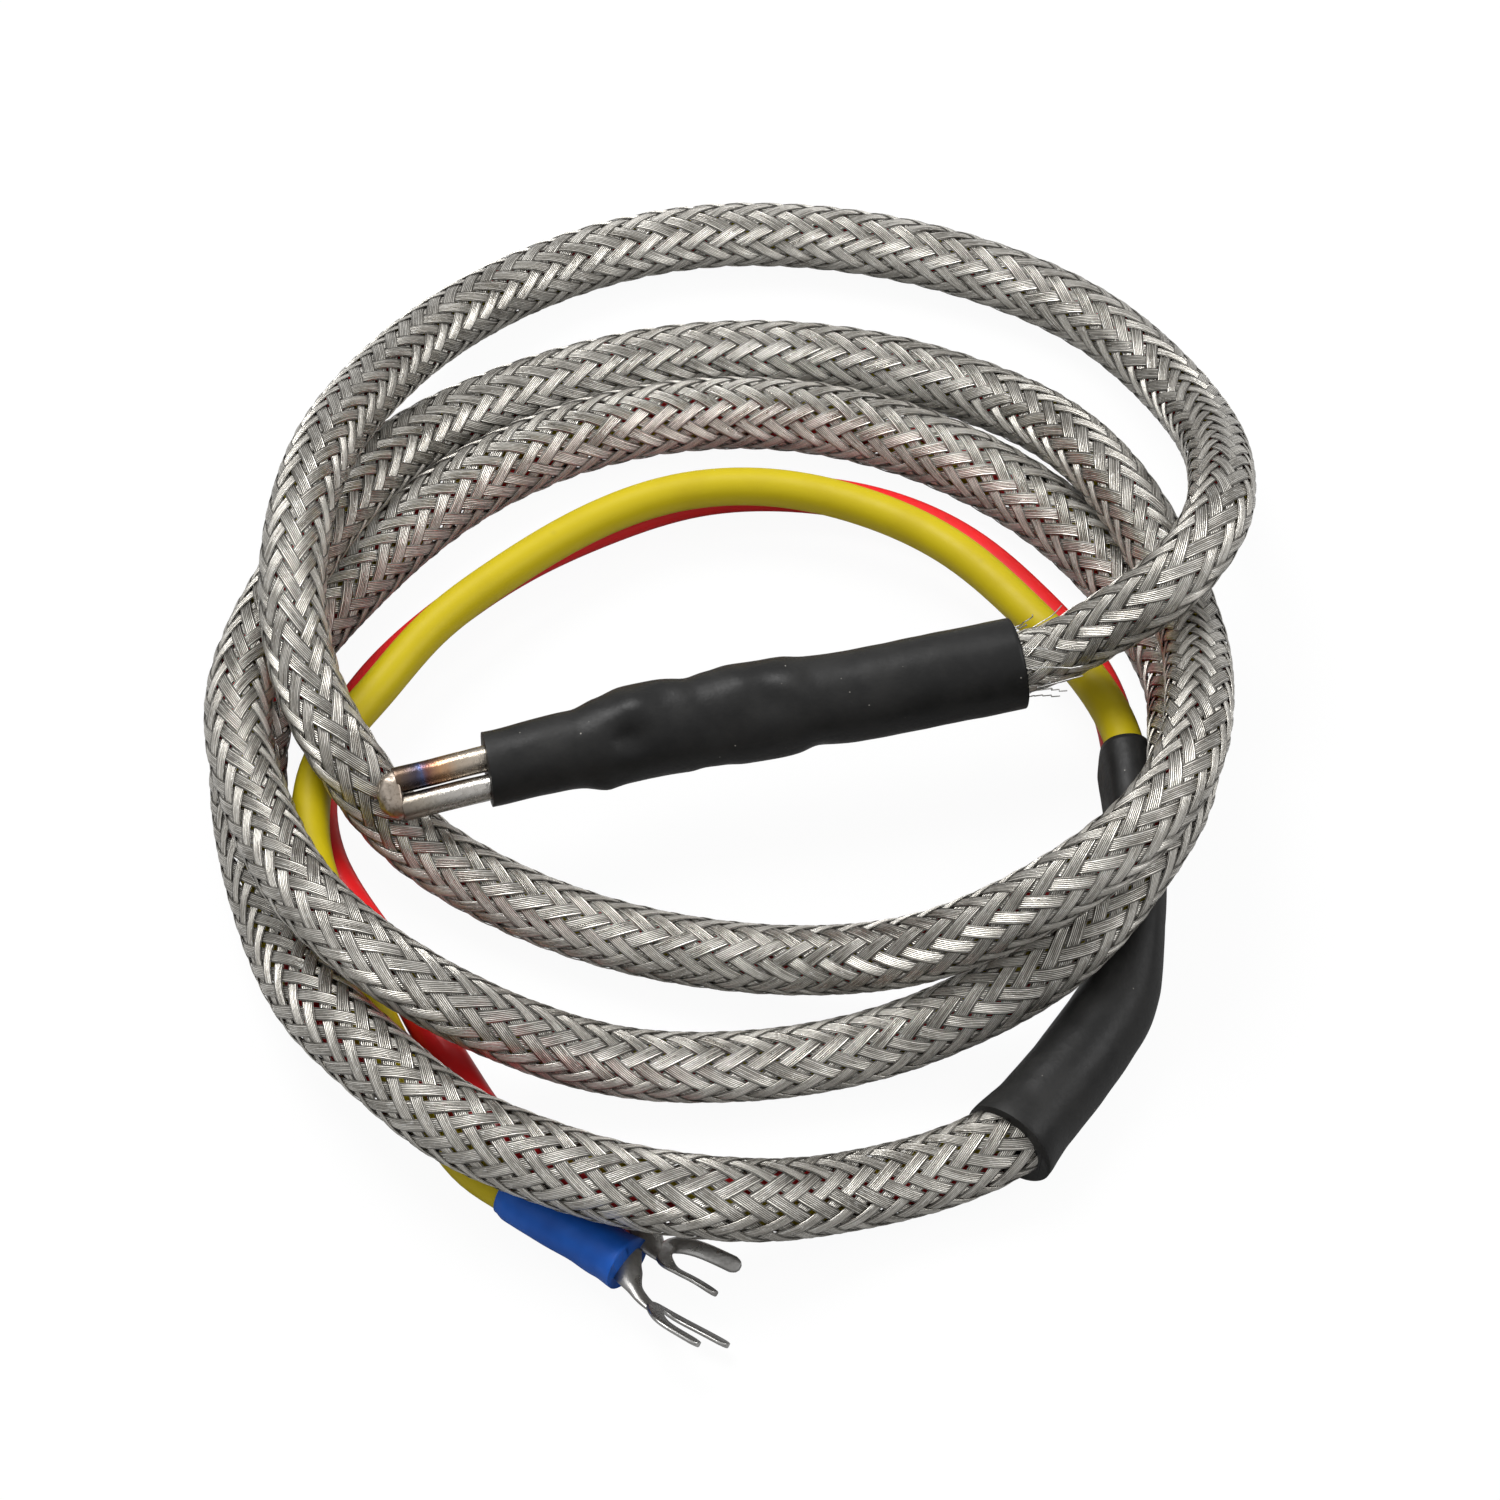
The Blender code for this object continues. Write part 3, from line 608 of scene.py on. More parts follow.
class Stock:
    """Straight stock along X, of radius 1, that the pieces are formed from."""

    INNER = 0.5

    @staticmethod
    def rod(length: float, sides: int, cuts: int, closed: bool = True, radius: float = 1.0) -> Solid:
        """Return a round rod or shell.

        Args:
            length: its length, in metres.
            sides: faces around it.
            cuts: loops along it, besides its ends.
            closed: whether its ends are capped.
            radius: its radius.

        Returns:
            The mesh.
        """
        bm = bmesh.new()
        lay = Matrix.Translation((length / 2.0, 0.0, 0.0)) @ Matrix.Rotation(TURN / 4.0, 4, "Y")
        bmesh.ops.create_cone(
            bm, cap_ends=closed, cap_tris=False, segments=sides, radius1=radius, radius2=radius,
            depth=length, matrix=lay,
        )
        Stock.divide(bm, length, cuts)
        return bm

    @staticmethod
    def divide(bm: Solid, length: float, cuts: int) -> None:
        """Cut the long edges of stock into even lengths."""
        long_edges = [e for e in bm.edges if abs(e.verts[0].co.x - e.verts[1].co.x) > length * 0.9]
        bmesh.ops.subdivide_edges(bm, edges=long_edges, cuts=cuts, use_grid_fill=False)

    @staticmethod
    def pipe(length: float, sides: int, cuts: int) -> Solid:
        """Return two shells, one in the other, joined at their ends."""
        bm = Stock.rod(length, sides, cuts, closed=False)
        inner = Stock.rod(length, sides, cuts, closed=False, radius=Stock.INNER)
        Stock.join(bm, inner)
        for end in (0.0, length):
            rim = [e for e in bm.edges if all(abs(v.co.x - end) < TOUCH for v in e.verts)]
            bmesh.ops.bridge_loops(bm, edges=rim)
        bmesh.ops.recalc_face_normals(bm, faces=bm.faces[:])
        return bm

    @staticmethod
    def join(target: Solid, extra: Solid) -> None:
        """Put one mesh into another, and free it."""
        holder = bpy.data.meshes.new("holder")
        extra.to_mesh(holder)
        extra.free()
        target.from_mesh(holder)
        bpy.data.meshes.remove(holder)

    @staticmethod
    def form(bm: Solid, former: Former, rim: float = 0.0) -> None:
        """Give stock its shape.

        Args:
            bm: the stock.
            former: the place of a point, from its run, its angle and whether it's inside.
            rim: how far the edges of the ends are rounded.
        """
        runs = [v.co.x for v in bm.verts]
        low, high = min(runs), max(runs)
        edges = [
            e for e in bm.edges
            if all(min(v.co.x - low, high - v.co.x) < TOUCH for v in e.verts)
            and abs(e.verts[0].co.yz.length - e.verts[1].co.yz.length) < 1e-4
        ]
        between = (1.0 + Stock.INNER) / 2.0
        for v in bm.verts:
            reach = hypot(v.co.y, v.co.z)
            v.co = former(v.co.x, atan2(v.co.z, v.co.y), reach < between)
        if rim:
            bmesh.ops.bevel(
                bm, geom=edges, offset=rim, segments=3, profile=0.5, affect="EDGES", material=-1,
                clamp_overlap=True,
            )


def add_object(name: str, data: bpy.types.ID) -> Piece:
    """Put an object of that data into the scene."""
    obj = bpy.data.objects.new(name, data)
    bpy.context.scene.collection.objects.link(obj)
    return obj


def mesh_of(name: str, bm: Solid, material: Material) -> bpy.types.Mesh:
    """Return a smooth mesh with its material. The bmesh is freed."""
    for face in bm.faces:
        face.smooth = True
    mesh = bpy.data.meshes.new(name)
    bm.to_mesh(mesh)
    bm.free()
    mesh.materials.append(material)
    return mesh


def curve_of(
    name: str, radius: float, resolution: int, material: Material, lines: Sequence[Sequence[Vector]]
) -> bpy.types.Curve:
    """Return a round curve with closed ends.

    Args:
        name: its name.
        radius: its radius.
        resolution: how finely it's rounded.
        material: its finish.
        lines: the points of each of its lines.

    Returns:
        The curve.
    """
    curve = bpy.data.curves.new(name, "CURVE")
    curve.dimensions = "3D"
    curve.bevel_depth = radius
    curve.bevel_resolution = resolution
    curve.use_fill_caps = True
    curve.materials.append(material)
    for line in lines:
        spline = curve.splines.new("POLY")
        spline.points.add(len(line) - 1)
        for point, place in zip(spline.points, line):
            point.co = (*place, 1.0)
    return curve


def add_piece(name: str, data: bpy.types.ID, slot: str, replaces: Sequence[str] = ()) -> Piece:
    """Make a piece that rides on the body.

    Args:
        name: the piece's name.
        data: its mesh or curve.
        slot: the record's slot that its finish belongs to; not used.
        replaces: the solids that it stands for.

    Returns:
        The piece.
    """
    obj = add_object(name, data)
    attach(obj, "root")
    if replaces:
        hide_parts(*replaces)
    return obj


def show(name: str, bm: Solid, material: Material, slot: str, replaces: Sequence[str] = ()) -> Piece:
    """Make a piece of a bmesh, as add_piece does, and log its size."""
    mesh = mesh_of(name, bm, material)
    log.info("%s: %d faces", name, len(mesh.polygons))
    return add_piece(name, mesh, slot, replaces)


def ripples(x: float, y: float, z: float) -> float:
    """Return smooth noise, from about -1 to 1, at a place."""
    return noise.noise(Vector((x, y, z)))


def lump(x: float, angle: float, size: float, seed: float) -> float:
    """Return smooth noise, from about -1 to 1, over a tube.

    Args:
        x: the place along it, in metres.
        angle: the place round it.
        size: the size of the lumps, in metres.
        seed: which noise it is.

    Returns:
        The noise.
    """
    reach = 4.5 * MM / size
    return ripples(x / size + seed, cos(angle) * reach, sin(angle) * reach)


@dataclass
class ProbeHead:
    """The welded tip, its two legs and the shrink sleeve over their crimps."""

    leg_radius: float = 1.38 * MM
    leg_gap: float = 0.12 * MM
    leg_length: float = 24.0 * MM
    leg_edge: float = 0.3 * MM
    leg_swell: float = 0.025
    leg_wander: float = 0.08 * MM
    legs_end: Point = (-8.2 * MM, 0.7 * MM, 0.0)
    slant: float = radians(2.5)
    roll: float = radians(36.0)
    bead_front: float = 2.2 * MM
    bead_back: float = 0.45 * MM
    bead_inset: float = 0.3 * MM
    bead_waist: float = 0.10
    mouth: float = -22.6 * MM
    mouth_skew: float = 0.25 * MM
    sleeve_length: float = 56.4 * MM
    sleeve_edge: float = 0.16 * MM
    wall: float = 0.75 * MM
    squash: float = 0.22 * MM
    wide_lumps: float = 0.08 * MM
    fine_lumps: float = 0.05 * MM
    dent_reach: float = 4.8 * MM
    radius: Profile = Profile(in_metres(
        (-22.9, 3.9), (-13.2, 3.98), (-10.2, 4.5), (-7.2, 4.82), (-2.0, 4.84), (-0.2, 4.66),
        (1.6, 4.74), (4.0, 4.98), (9.5, 5.0), (12.0, 4.76), (23.0, 4.82), (33.5, 4.8),
    ))
    side: Profile = Profile(in_metres(
        (-22.9, 0.5), (-13.0, 0.75), (-7.5, 1.25), (1.0, 0.95), (8.0, 0.6), (18.0, 0.0), (33.5, -0.1),
    ))
    # Each dent or bump: its place in mm, its angle in degrees, its height and its size in mm
    dents: tuple[tuple[float, float, float, float], ...] = (
        (-10.6, 217.0, 0.50, 2.4), (-8.2, 132.0, -0.85, 1.6), (-6.6, 96.0, 0.5, 2.0),
        (-1.0, 40.0, -0.26, 1.6), (-3.0, 200.0, -0.20, 3.0), (4.4, 92.0, 0.30, 2.0),
        (7.0, 118.0, -0.30, 1.7), (9.2, 100.0, 0.24, 1.8), (11.6, 212.0, -0.30, 1.8),
        (1.4, 140.0, -0.22, 2.6), (26.0, 80.0, 0.12, 3.0),
    )

    def legs_frame(self) -> Matrix:
        """Return the frame at the legs' inner end, with X out of the sleeve's back."""
        along = Vector((cos(self.slant), sin(self.slant), 0.0))
        return upright_frame(Vector(self.legs_end), along, self.roll)

    def leg(self, name: str, side: float, finish: Material, slot: str) -> None:
        """Build one leg.

        Args:
            name: the solid that it replaces.
            side: 1 or -1, for the side of the head that it's on.
            finish: its material.
            slot: its slot in the record.
        """
        frame_here = self.legs_frame()
        offset = side * (self.leg_radius + self.leg_gap / 2.0)

        def former(x: float, angle: float, inner: bool) -> Vector:
            """Return the place of a point of the stock."""
            reach = self.leg_radius * (1.0 + self.leg_swell * lump(x, angle, 2.6 * MM, 3.0 + side))
            wander = self.leg_wander * ripples(x / (6.0 * MM), side, 1.0)
            level = offset + wander + reach * cos(angle)
            return frame_here @ Vector((x - self.leg_length, level, reach * sin(angle)))

        bm = Stock.rod(self.leg_length, sides=40, cuts=70)
        Stock.form(bm, former, self.leg_edge)
        show(f"{name}_rod", bm, finish, slot, [name])

    def bead(self, finish: Material) -> None:
        """Build the weld bead that joins the legs' tips."""
        frame_here = self.legs_frame()
        base = -self.leg_length + 0.1 * MM
        wide = self.leg_gap / 2.0 + 2.0 * self.leg_radius - self.bead_inset
        high = self.leg_radius + 0.05 * MM
        turned = Matrix.Rotation(TURN / 4.0, 4, "Y")
        bm = bmesh.new()
        bmesh.ops.create_uvsphere(bm, u_segments=56, v_segments=36, radius=1.0, matrix=turned)
        for v in bm.verts:
            x, y, z = v.co
            rough = 1.0 + 0.05 * noise.noise(v.co * 2.3) + 0.022 * noise.noise(v.co * 7.0)
            waist = 1.0 - self.bead_waist * exp(-(y / 0.28) ** 2) * (1.0 if x > -0.6 else 0.4)
            depth = self.bead_front if x < 0.0 else self.bead_back
            square = copysign(abs(y) ** 0.86, y)
            local = Vector((base + x * depth * rough, square * wide * rough, z * high * rough * waist))
            v.co = frame_here @ local
        show("weld_bead", bm, finish, "heat_tinted_steel", ["junction_bead"])

    def sleeve(self, finish: Material) -> None:
        """Build the black sleeve that follows the crimps under it."""

        def former(x: float, angle: float, inner: bool) -> Vector:
            """Return the place of a point of the stock."""
            place = self.mouth + x
            reach = self.radius.at(place)
            over_crimps = exp(-(((place - 1.0 * MM) / (9.0 * MM)) ** 4))
            reach += self.squash * over_crimps * cos(2.0 * (angle - self.roll))
            reach += self.wide_lumps * lump(x, angle, 7.0 * MM, 1.0)
            reach += self.fine_lumps * lump(x, angle, 2.6 * MM, 5.0)
            for run, turn, height, size in self.dents:
                off = remainder(angle - radians(turn), TURN) * self.dent_reach
                away = (place - run * MM) ** 2 + off ** 2
                reach += height * MM * exp(-away / (size * MM) ** 2)
            if inner:
                reach -= self.wall
            centre = self.side.at(place)
            skew = self.mouth_skew * (cos(angle) if x < TOUCH else 0.0)
            return Vector((place + skew, centre + reach * cos(angle), reach * sin(angle)))

        bm = Stock.pipe(self.sleeve_length, sides=72, cuts=120)
        Stock.form(bm, former, self.sleeve_edge)
        show("head_sleeve", bm, finish, "black_sleeve", ["probe_sleeve"])


@dataclass
class BraidedCable:
    """The metal braid over two twisted cores, laid in a coil."""

    lay: float = 38.4 * MM
    carriers: int = 12
    middle: float = 3.43 * MM
    wave: float = 0.12 * MM
    width: float = 1.34 * MM
    thick: float = 0.13 * MM
    step: float = 0.72 * MM
    core_radius: float = 1.5 * MM
    core_lay: float = 34.0 * MM
    core_step: float = 2.4 * MM
    unevenness: float = 0.035 * MM
    strays: int = 14
    stray_radius: float = 0.07 * MM
    loosening: Profile = Profile((
        (0.022, -0.32 * MM), (0.042, 0.0), (0.60, 0.0),
        (0.76, 0.42 * MM), (0.93, 0.58 * MM), (0.945, 0.4 * MM),
    ))
    route: Route = field(init=False)

    def __post_init__(self) -> None:
        """Lay the route."""
        self.route = Route(CABLE_ROUTE, self.step)

    def carrier(self, hand: Hand, number: int) -> Solid:
        """Return one ribbon, woven over two and under two of the other hand's.

        Args:
            hand: the way that it turns.
            number: which of the hand's ribbons it is.

        Returns:
            Its mesh.
        """
        bm = bmesh.new()
        half, top = self.width / 2.0, self.thick / 2.0
        section = ((-1.0, 0.3), (-0.6, 0.95), (0.0, 1.0), (0.6, 0.95), (1.0, 0.3), (0.0, -1.0))
        verts = [bm.verts.new((0.0, y * half, z * top)) for y, z in section]
        start = bm.faces.new(verts)
        made = bmesh.ops.extrude_face_region(bm, geom=[start], use_keep_orig=True)["geom"]
        moved = [v for v in made if isinstance(v, bmesh.types.BMVert)]
        bmesh.ops.translate(bm, verts=moved, vec=(self.route.length, 0.0, 0.0))
        Stock.divide(bm, self.route.length, self.route.cuts - 1)
        bmesh.ops.recalc_face_normals(bm, faces=bm.faces[:])
        uv = bm.loops.layers.uv.new("ribbon")
        for face in bm.faces:
            for loop in face.loops:
                across = loop.vert.co.y / self.width + 0.5
                loop[uv].uv = (number + 0.02 + 0.96 * across, loop.vert.co.x + hand.value * 0.37)
        lean = cos(atan2(TURN * self.middle, self.lay))
        places = {}
        for v in bm.verts:
            i = round(v.co.x / self.route.step)
            if i not in places:
                places[i] = self.station(hand, number, i)
            reach, angle, slack = places[i]
            turn = angle + v.co.y * slack / (lean * reach)
            out = reach + v.co.z
            place, across, up = self.route.frames[i]
            v.co = place + across * (out * cos(turn)) + up * (out * sin(turn))
        return bm

    def station(self, hand: Hand, number: int, i: int) -> tuple[float, float, float]:
        """Return a ribbon's distance from the middle, its angle and its share of width.

        Args:
            hand: the way that it turns.
            number: which ribbon it is.
            i: the step along the route.

        Returns:
            The three values.
        """
        run = i * self.route.step
        crossing = 2.0 * self.carriers * run / self.lay
        seed = number * 9.1 + hand.value * 40.0
        drift = ripples(run / (22.0 * MM), seed, 0.0)
        ripple = ripples(run / (5.0 * MM), seed, 7.0)
        start = TURN * (number + 0.13 * drift) / self.carriers
        angle = hand.value * TURN * run / self.lay + start
        if hand is Hand.RIGHT:
            rise = cos(TURN / 4.0 * (crossing + 2.0 * number - 0.5))
        else:
            rise = -cos(TURN / 4.0 * (2.0 * number - crossing - 0.5))
        loose = self.loosening.at(run)
        reach = self.middle + self.wave * rise + self.unevenness * ripple + loose
        slack = (1.0 + 0.07 * ripple + 0.06 * drift) * (1.0 + 0.15 * loose / self.middle)
        return reach, angle, slack

    def braid(self, finish: Material) -> list[Piece]:
        """Build the ribbons, a piece for each hand."""
        pieces = []
        for hand in Hand:
            bm = bmesh.new()
            for number in range(self.carriers):
                Stock.join(bm, self.carrier(hand, number))
            nodes = ["braided_cable"] if hand is Hand.RIGHT else []
            pieces.append(show(f"braid_{hand.name.lower()}_hand", bm, finish, "steel_braid", nodes))
        return pieces

    def core(self, name: str, phase: float, finish: Material, slot: str) -> Piece:
        """Build one core, twisted with the other inside the braid.

        Args:
            name: the piece's name.
            phase: where its twist starts.
            finish: its material.
            slot: its slot in the record.

        Returns:
            The piece.
        """
        route = Route(CABLE_ROUTE, self.core_step)

        def former(x: float, angle: float, inner: bool) -> Vector:
            """Return the place of a point of the stock."""
            turn = phase + TURN * x / self.core_lay
            side = self.core_radius * (cos(turn) + cos(angle) * 0.98)
            rise = self.core_radius * (sin(turn) + sin(angle) * 0.98)
            return route.at(x, side, rise)

        bm = Stock.rod(route.length, sides=12, cuts=route.cuts - 1)
        Stock.form(bm, former)
        return show(name, bm, finish, slot)

    def stray_wires(self, finish: Material) -> Piece:
        """Build the few fine wires that stand out of the braid at the head's sleeve."""
        chance = random.Random(11)
        lines = []
        for _ in range(self.strays):
            start = chance.uniform(19.8, 21.5) * MM
            length = chance.uniform(2.0, 6.5) * MM
            angle = chance.uniform(0.0, TURN)
            lift = chance.uniform(0.1, 1.0) * MM
            twist = chance.uniform(-0.5, 0.5)
            line = []
            for t in (i / 7.0 for i in range(8)):
                reach = self.middle + 0.25 * MM + lift * t * t
                turn = angle + twist * t
                line.append(self.route.at(start + length * t, reach * cos(turn), reach * sin(turn)))
            lines.append(line)
        curve = curve_of("stray_wires", self.stray_radius, 1, finish, lines)
        return add_piece("stray_wires", curve, "steel_braid")


@dataclass
class TailSleeve:
    """The shrink sleeve from the braid to the two leads."""

    wall: float = 0.6 * MM
    edge: float = 0.14 * MM
    step: float = 0.5 * MM
    back: float = 2.2 * MM
    short: float = 2.2 * MM
    spread: float = 1.95 * MM
    waist: float = 0.30 * MM
    wide_lumps: float = 0.10 * MM
    fine_lumps: float = 0.04 * MM
    width: Profile = Profile(in_metres(
        (-2.2, 4.95), (2.2, 4.5), (9.0, 4.38), (15.0, 4.3), (29.0, 2.95), (40.0, 3.0), (50.0, 3.0),
    ))

    def build(self, finish: Material) -> Piece:
        """Build the sleeve."""
        route = Route(TAIL_ROUTE, self.step, level=True)
        straight = Profile(((15.0 * MM, 0.0), (29.0 * MM, self.spread)))

        def former(run: float, angle: float, inner: bool) -> Vector:
            """Return the place of a point of the stock."""
            x = run - self.back
            reach = self.width.at(x) + self.wide_lumps * lump(x, angle, 6.0 * MM, 9.0)
            reach += self.fine_lumps * lump(x, angle, 2.2 * MM, 2.0)
            rise = straight.at(x)
            reach -= self.waist * (rise / self.spread) * abs(cos(angle)) ** 6
            if inner:
                reach -= self.wall
            lift = reach * sin(angle) + rise * tanh(3.0 * sin(angle))
            return route.at(x, reach * cos(angle), lift) + route.direction(0) * min(0.0, x)

        length = route.length + self.back - self.short
        bm = Stock.pipe(length, sides=64, cuts=round(length / route.step) - 1)
        Stock.form(bm, former, self.edge)
        return show("joint_sleeve", bm, finish, "black_sleeve", ["tail_sleeve"])


@dataclass
class Lead:
    """One coloured lead with its boot."""

    name: str
    boot_name: str
    points: Sequence[Point]
    entry: Point
    heading: float
    roll: float
    radius: float = 2.05 * MM
    step: float = 1.3 * MM
    boot_length: float = 15.4 * MM
    boot_overlap: float = 6.0 * MM
    boot_radius: Profile = Profile(in_metres(
        (0.0, 2.28), (1.2, 2.6), (6.0, 2.66), (9.0, 2.62), (12.5, 2.9), (15.0, 3.3), (15.4, 3.2),
    ))
    boot_flat: Profile = Profile(((9.0 * MM, 0.0), (15.4 * MM, 0.16)))
    boot_wall: float = 0.36 * MM
    boot_edge: float = 0.12 * MM
    boot_lumps: float = 0.07 * MM

    def build_boot(self, finish: Material) -> Piece:
        """Build the soft boot over the crimp."""
        along = Vector((cos(self.heading), sin(self.heading), 0.0))
        place = Vector(self.entry) - Vector((0.0, 0.0, BENCH_DEPTH))
        frame_here = upright_frame(place, along, self.roll)

        def former(x: float, angle: float, inner: bool) -> Vector:
            """Return the place of a point of the stock."""
            reach = self.boot_radius.at(x) + self.boot_lumps * lump(x, angle, 4.0 * MM, self.heading)
            flat = self.boot_flat.at(x)
            if inner:
                reach -= self.boot_wall
            side = reach * cos(angle) * (1.0 + flat)
            rise = reach * sin(angle) * (1.0 - flat)
            return frame_here @ Vector((x, side, rise))

        bm = Stock.pipe(self.boot_length, sides=56, cuts=44)
        Stock.form(bm, former, self.boot_edge)
        return show(f"{self.boot_name}_cover", bm, finish, self.boot_name, [self.boot_name])

    def route(self) -> Route:
        """Return the lead's route, carried on straight into its boot."""
        points = list(self.points)
        for run in (self.boot_overlap / 2.0, self.boot_overlap):
            x, y, height = self.entry
            points.append((x + run * cos(self.heading), y + run * sin(self.heading), height))
        return Route(points, self.step)

    def build(self, finish: Material, slot: str) -> tuple[Piece, Route]:
        """Build the lead itself.

        Args:
            finish: its material.
            slot: its slot in the record.

        Returns:
            The piece and its route.
        """
        route = self.route()
        curve = curve_of(f"{self.name}_wire", self.radius, 7, finish, [route.points])
        return add_piece(f"{self.name}_wire", curve, slot, [self.name]), route


@dataclass
class Fork:
    """A crimped fork of thin sheet: a neck that opens into two prongs."""

    solid: str
    prongs: Sequence[Point]
    tilt: Profile
    neck: Sequence[Point]
    neck_tilt: Profile
    neck_width: Profile
    heading: float = radians(-43.0)
    prong_width: Profile = Profile((
        (0.0, 0.3 * MM), (0.018, 0.7 * MM), (0.05, 0.86 * MM),
        (0.95, 0.86 * MM), (0.982, 0.7 * MM), (1.0, 0.3 * MM),
    ))
    thick: float = 0.27 * MM
    neck_dish: float = 0.7 * MM
    step: float = 0.2 * MM

    def strip(self, points: Sequence[Point], tilt: Profile, width: Profile, fold: float) -> Solid:
        """Return a strip of sheet along a line.

        Args:
            points: the line, as X, Y and height above the bench.
            tilt: the sheet's lean to its side, in degrees, by share of the line.
            width: half the sheet's width, by share of the line.
            fold: how deep the strip's start is dished.

        Returns:
            The mesh.
        """
        route = Route(points, self.step)
        side = Vector((-sin(self.heading), cos(self.heading), 0.0))

        def former(x: float, angle: float, inner: bool) -> Vector:
            """Return the place of a point of the stock."""
            i = round(x / route.step)
            share = i / route.cuts
            lean = radians(tilt.at(share))
            along = route.direction(i)
            up = Vector((0.0, 0.0, cos(lean))) - side * sin(lean)
            up = (up - along * up.dot(along)).normalized()
            across = up.cross(along)
            flat = copysign(abs(cos(angle)) ** 0.6, cos(angle))
            high = copysign(abs(sin(angle)) ** 0.8, sin(angle)) * self.thick
            dish = fold * (1.0 - share) * (1.0 - flat * flat)
            return route.points[i] + across * (flat * width.at(share)) + up * (high + dish)

        bm = Stock.rod(route.length, sides=28, cuts=route.cuts - 1)
        Stock.form(bm, former)
        return bm

    def build(self, finish: Material) -> Piece:
        """Build the fork."""
        bm = self.strip(self.prongs, self.tilt, self.prong_width, 0.0)
        Stock.join(bm, self.strip(self.neck, self.neck_tilt, self.neck_width, self.neck_dish))
        return show(f"{self.solid}_sheet", bm, finish, "tinned_copper", [self.solid])


@dataclass
class Studio:
    """The photograph's camera, a white floor and soft light."""

    place: Point = (-90.3 * MM, -356.2 * MM, 466.6 * MM)
    aim: Point = (5.35 * MM, 0.64 * MM, -6.2 * MM)
    lens: float = 138.24
    floor_size: float = 4.0
    floor_gap: float = 0.65 * MM
    sensor: float = 36.0
    clip: tuple[float, float] = (0.01, 20.0)
    lamps: tuple[tuple[str, Point, float, float], ...] = (
        ("key", (-0.15, 0.40, 0.75), 0.45, 6.6), ("fill", (0.65, -0.10, 0.45), 0.35, 1.6),
    )
    sky_low: float = 0.14
    sky_rise: float = 0.72
    sky_start: float = 0.05
    sky_slope: float = 1.25

    def camera(self) -> None:
        """Set up the camera."""
        data = bpy.data.cameras.new("camera")
        data.lens = self.lens
        data.sensor_width = self.sensor
        data.clip_start, data.clip_end = self.clip
        obj = add_object("camera", data)
        obj.location = self.place
        look = Vector(self.aim) - Vector(self.place)
        obj.rotation_euler = look.to_track_quat("-Z", "Y").to_euler()
        bpy.context.scene.camera = obj

    def lamp(self, name: str, place: Point, size: float, power: float) -> None:
        """Add a square soft lamp that faces the part."""
        data = bpy.data.lights.new(name, "AREA")
        data.shape = "SQUARE"
        data.size = size
        data.energy = power
        obj = add_object(name, data)
        obj.location = place
        obj.rotation_euler = (-Vector(place)).to_track_quat("-Z", "Y").to_euler()

    def build(self) -> None:
        """Build the floor, the lamps and the surroundings."""
        bm = bmesh.new()
        bmesh.ops.create_grid(bm, x_segments=1, y_segments=1, size=self.floor_size / 2.0)
        bmesh.ops.translate(bm, verts=bm.verts[:], vec=(0.0, 0.0, -BENCH_DEPTH - self.floor_gap))
        floor = add_object("floor", mesh_of("floor", bm, FloorFinish().make("white_floor")))
        for name, place, size, power in self.lamps:
            self.lamp(name, place, size, power)
        world = bpy.data.worlds.new("surroundings")
        world.use_nodes = True
        bpy.context.scene.world = world
        tree = world.node_tree
        tree.nodes.clear()
        seen = add_node(tree, "ShaderNodeLightPath", output="Is Camera Ray")
        way = add_node(tree, "ShaderNodeTexCoord", output="Generated")
        up = add_node(tree, "ShaderNodeSeparateXYZ", {}, {0: way}, output="Z")
        sky = self.sky_low + ((up + self.sky_start) * self.sky_slope).clamped() * self.sky_rise
        strength = sky + (1.0 - sky) * seen
        back = add_node(tree, "ShaderNodeBackground", {}, {"Color": WHITE, "Strength": strength})
        link_output(tree, "ShaderNodeOutputWorld", back)


def dress(name: str, material: Material) -> Piece:
    """Give a solid that keeps its shape a finish."""
    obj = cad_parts[name]
    for part in obj.material_slots:
        part.material = material
    return obj


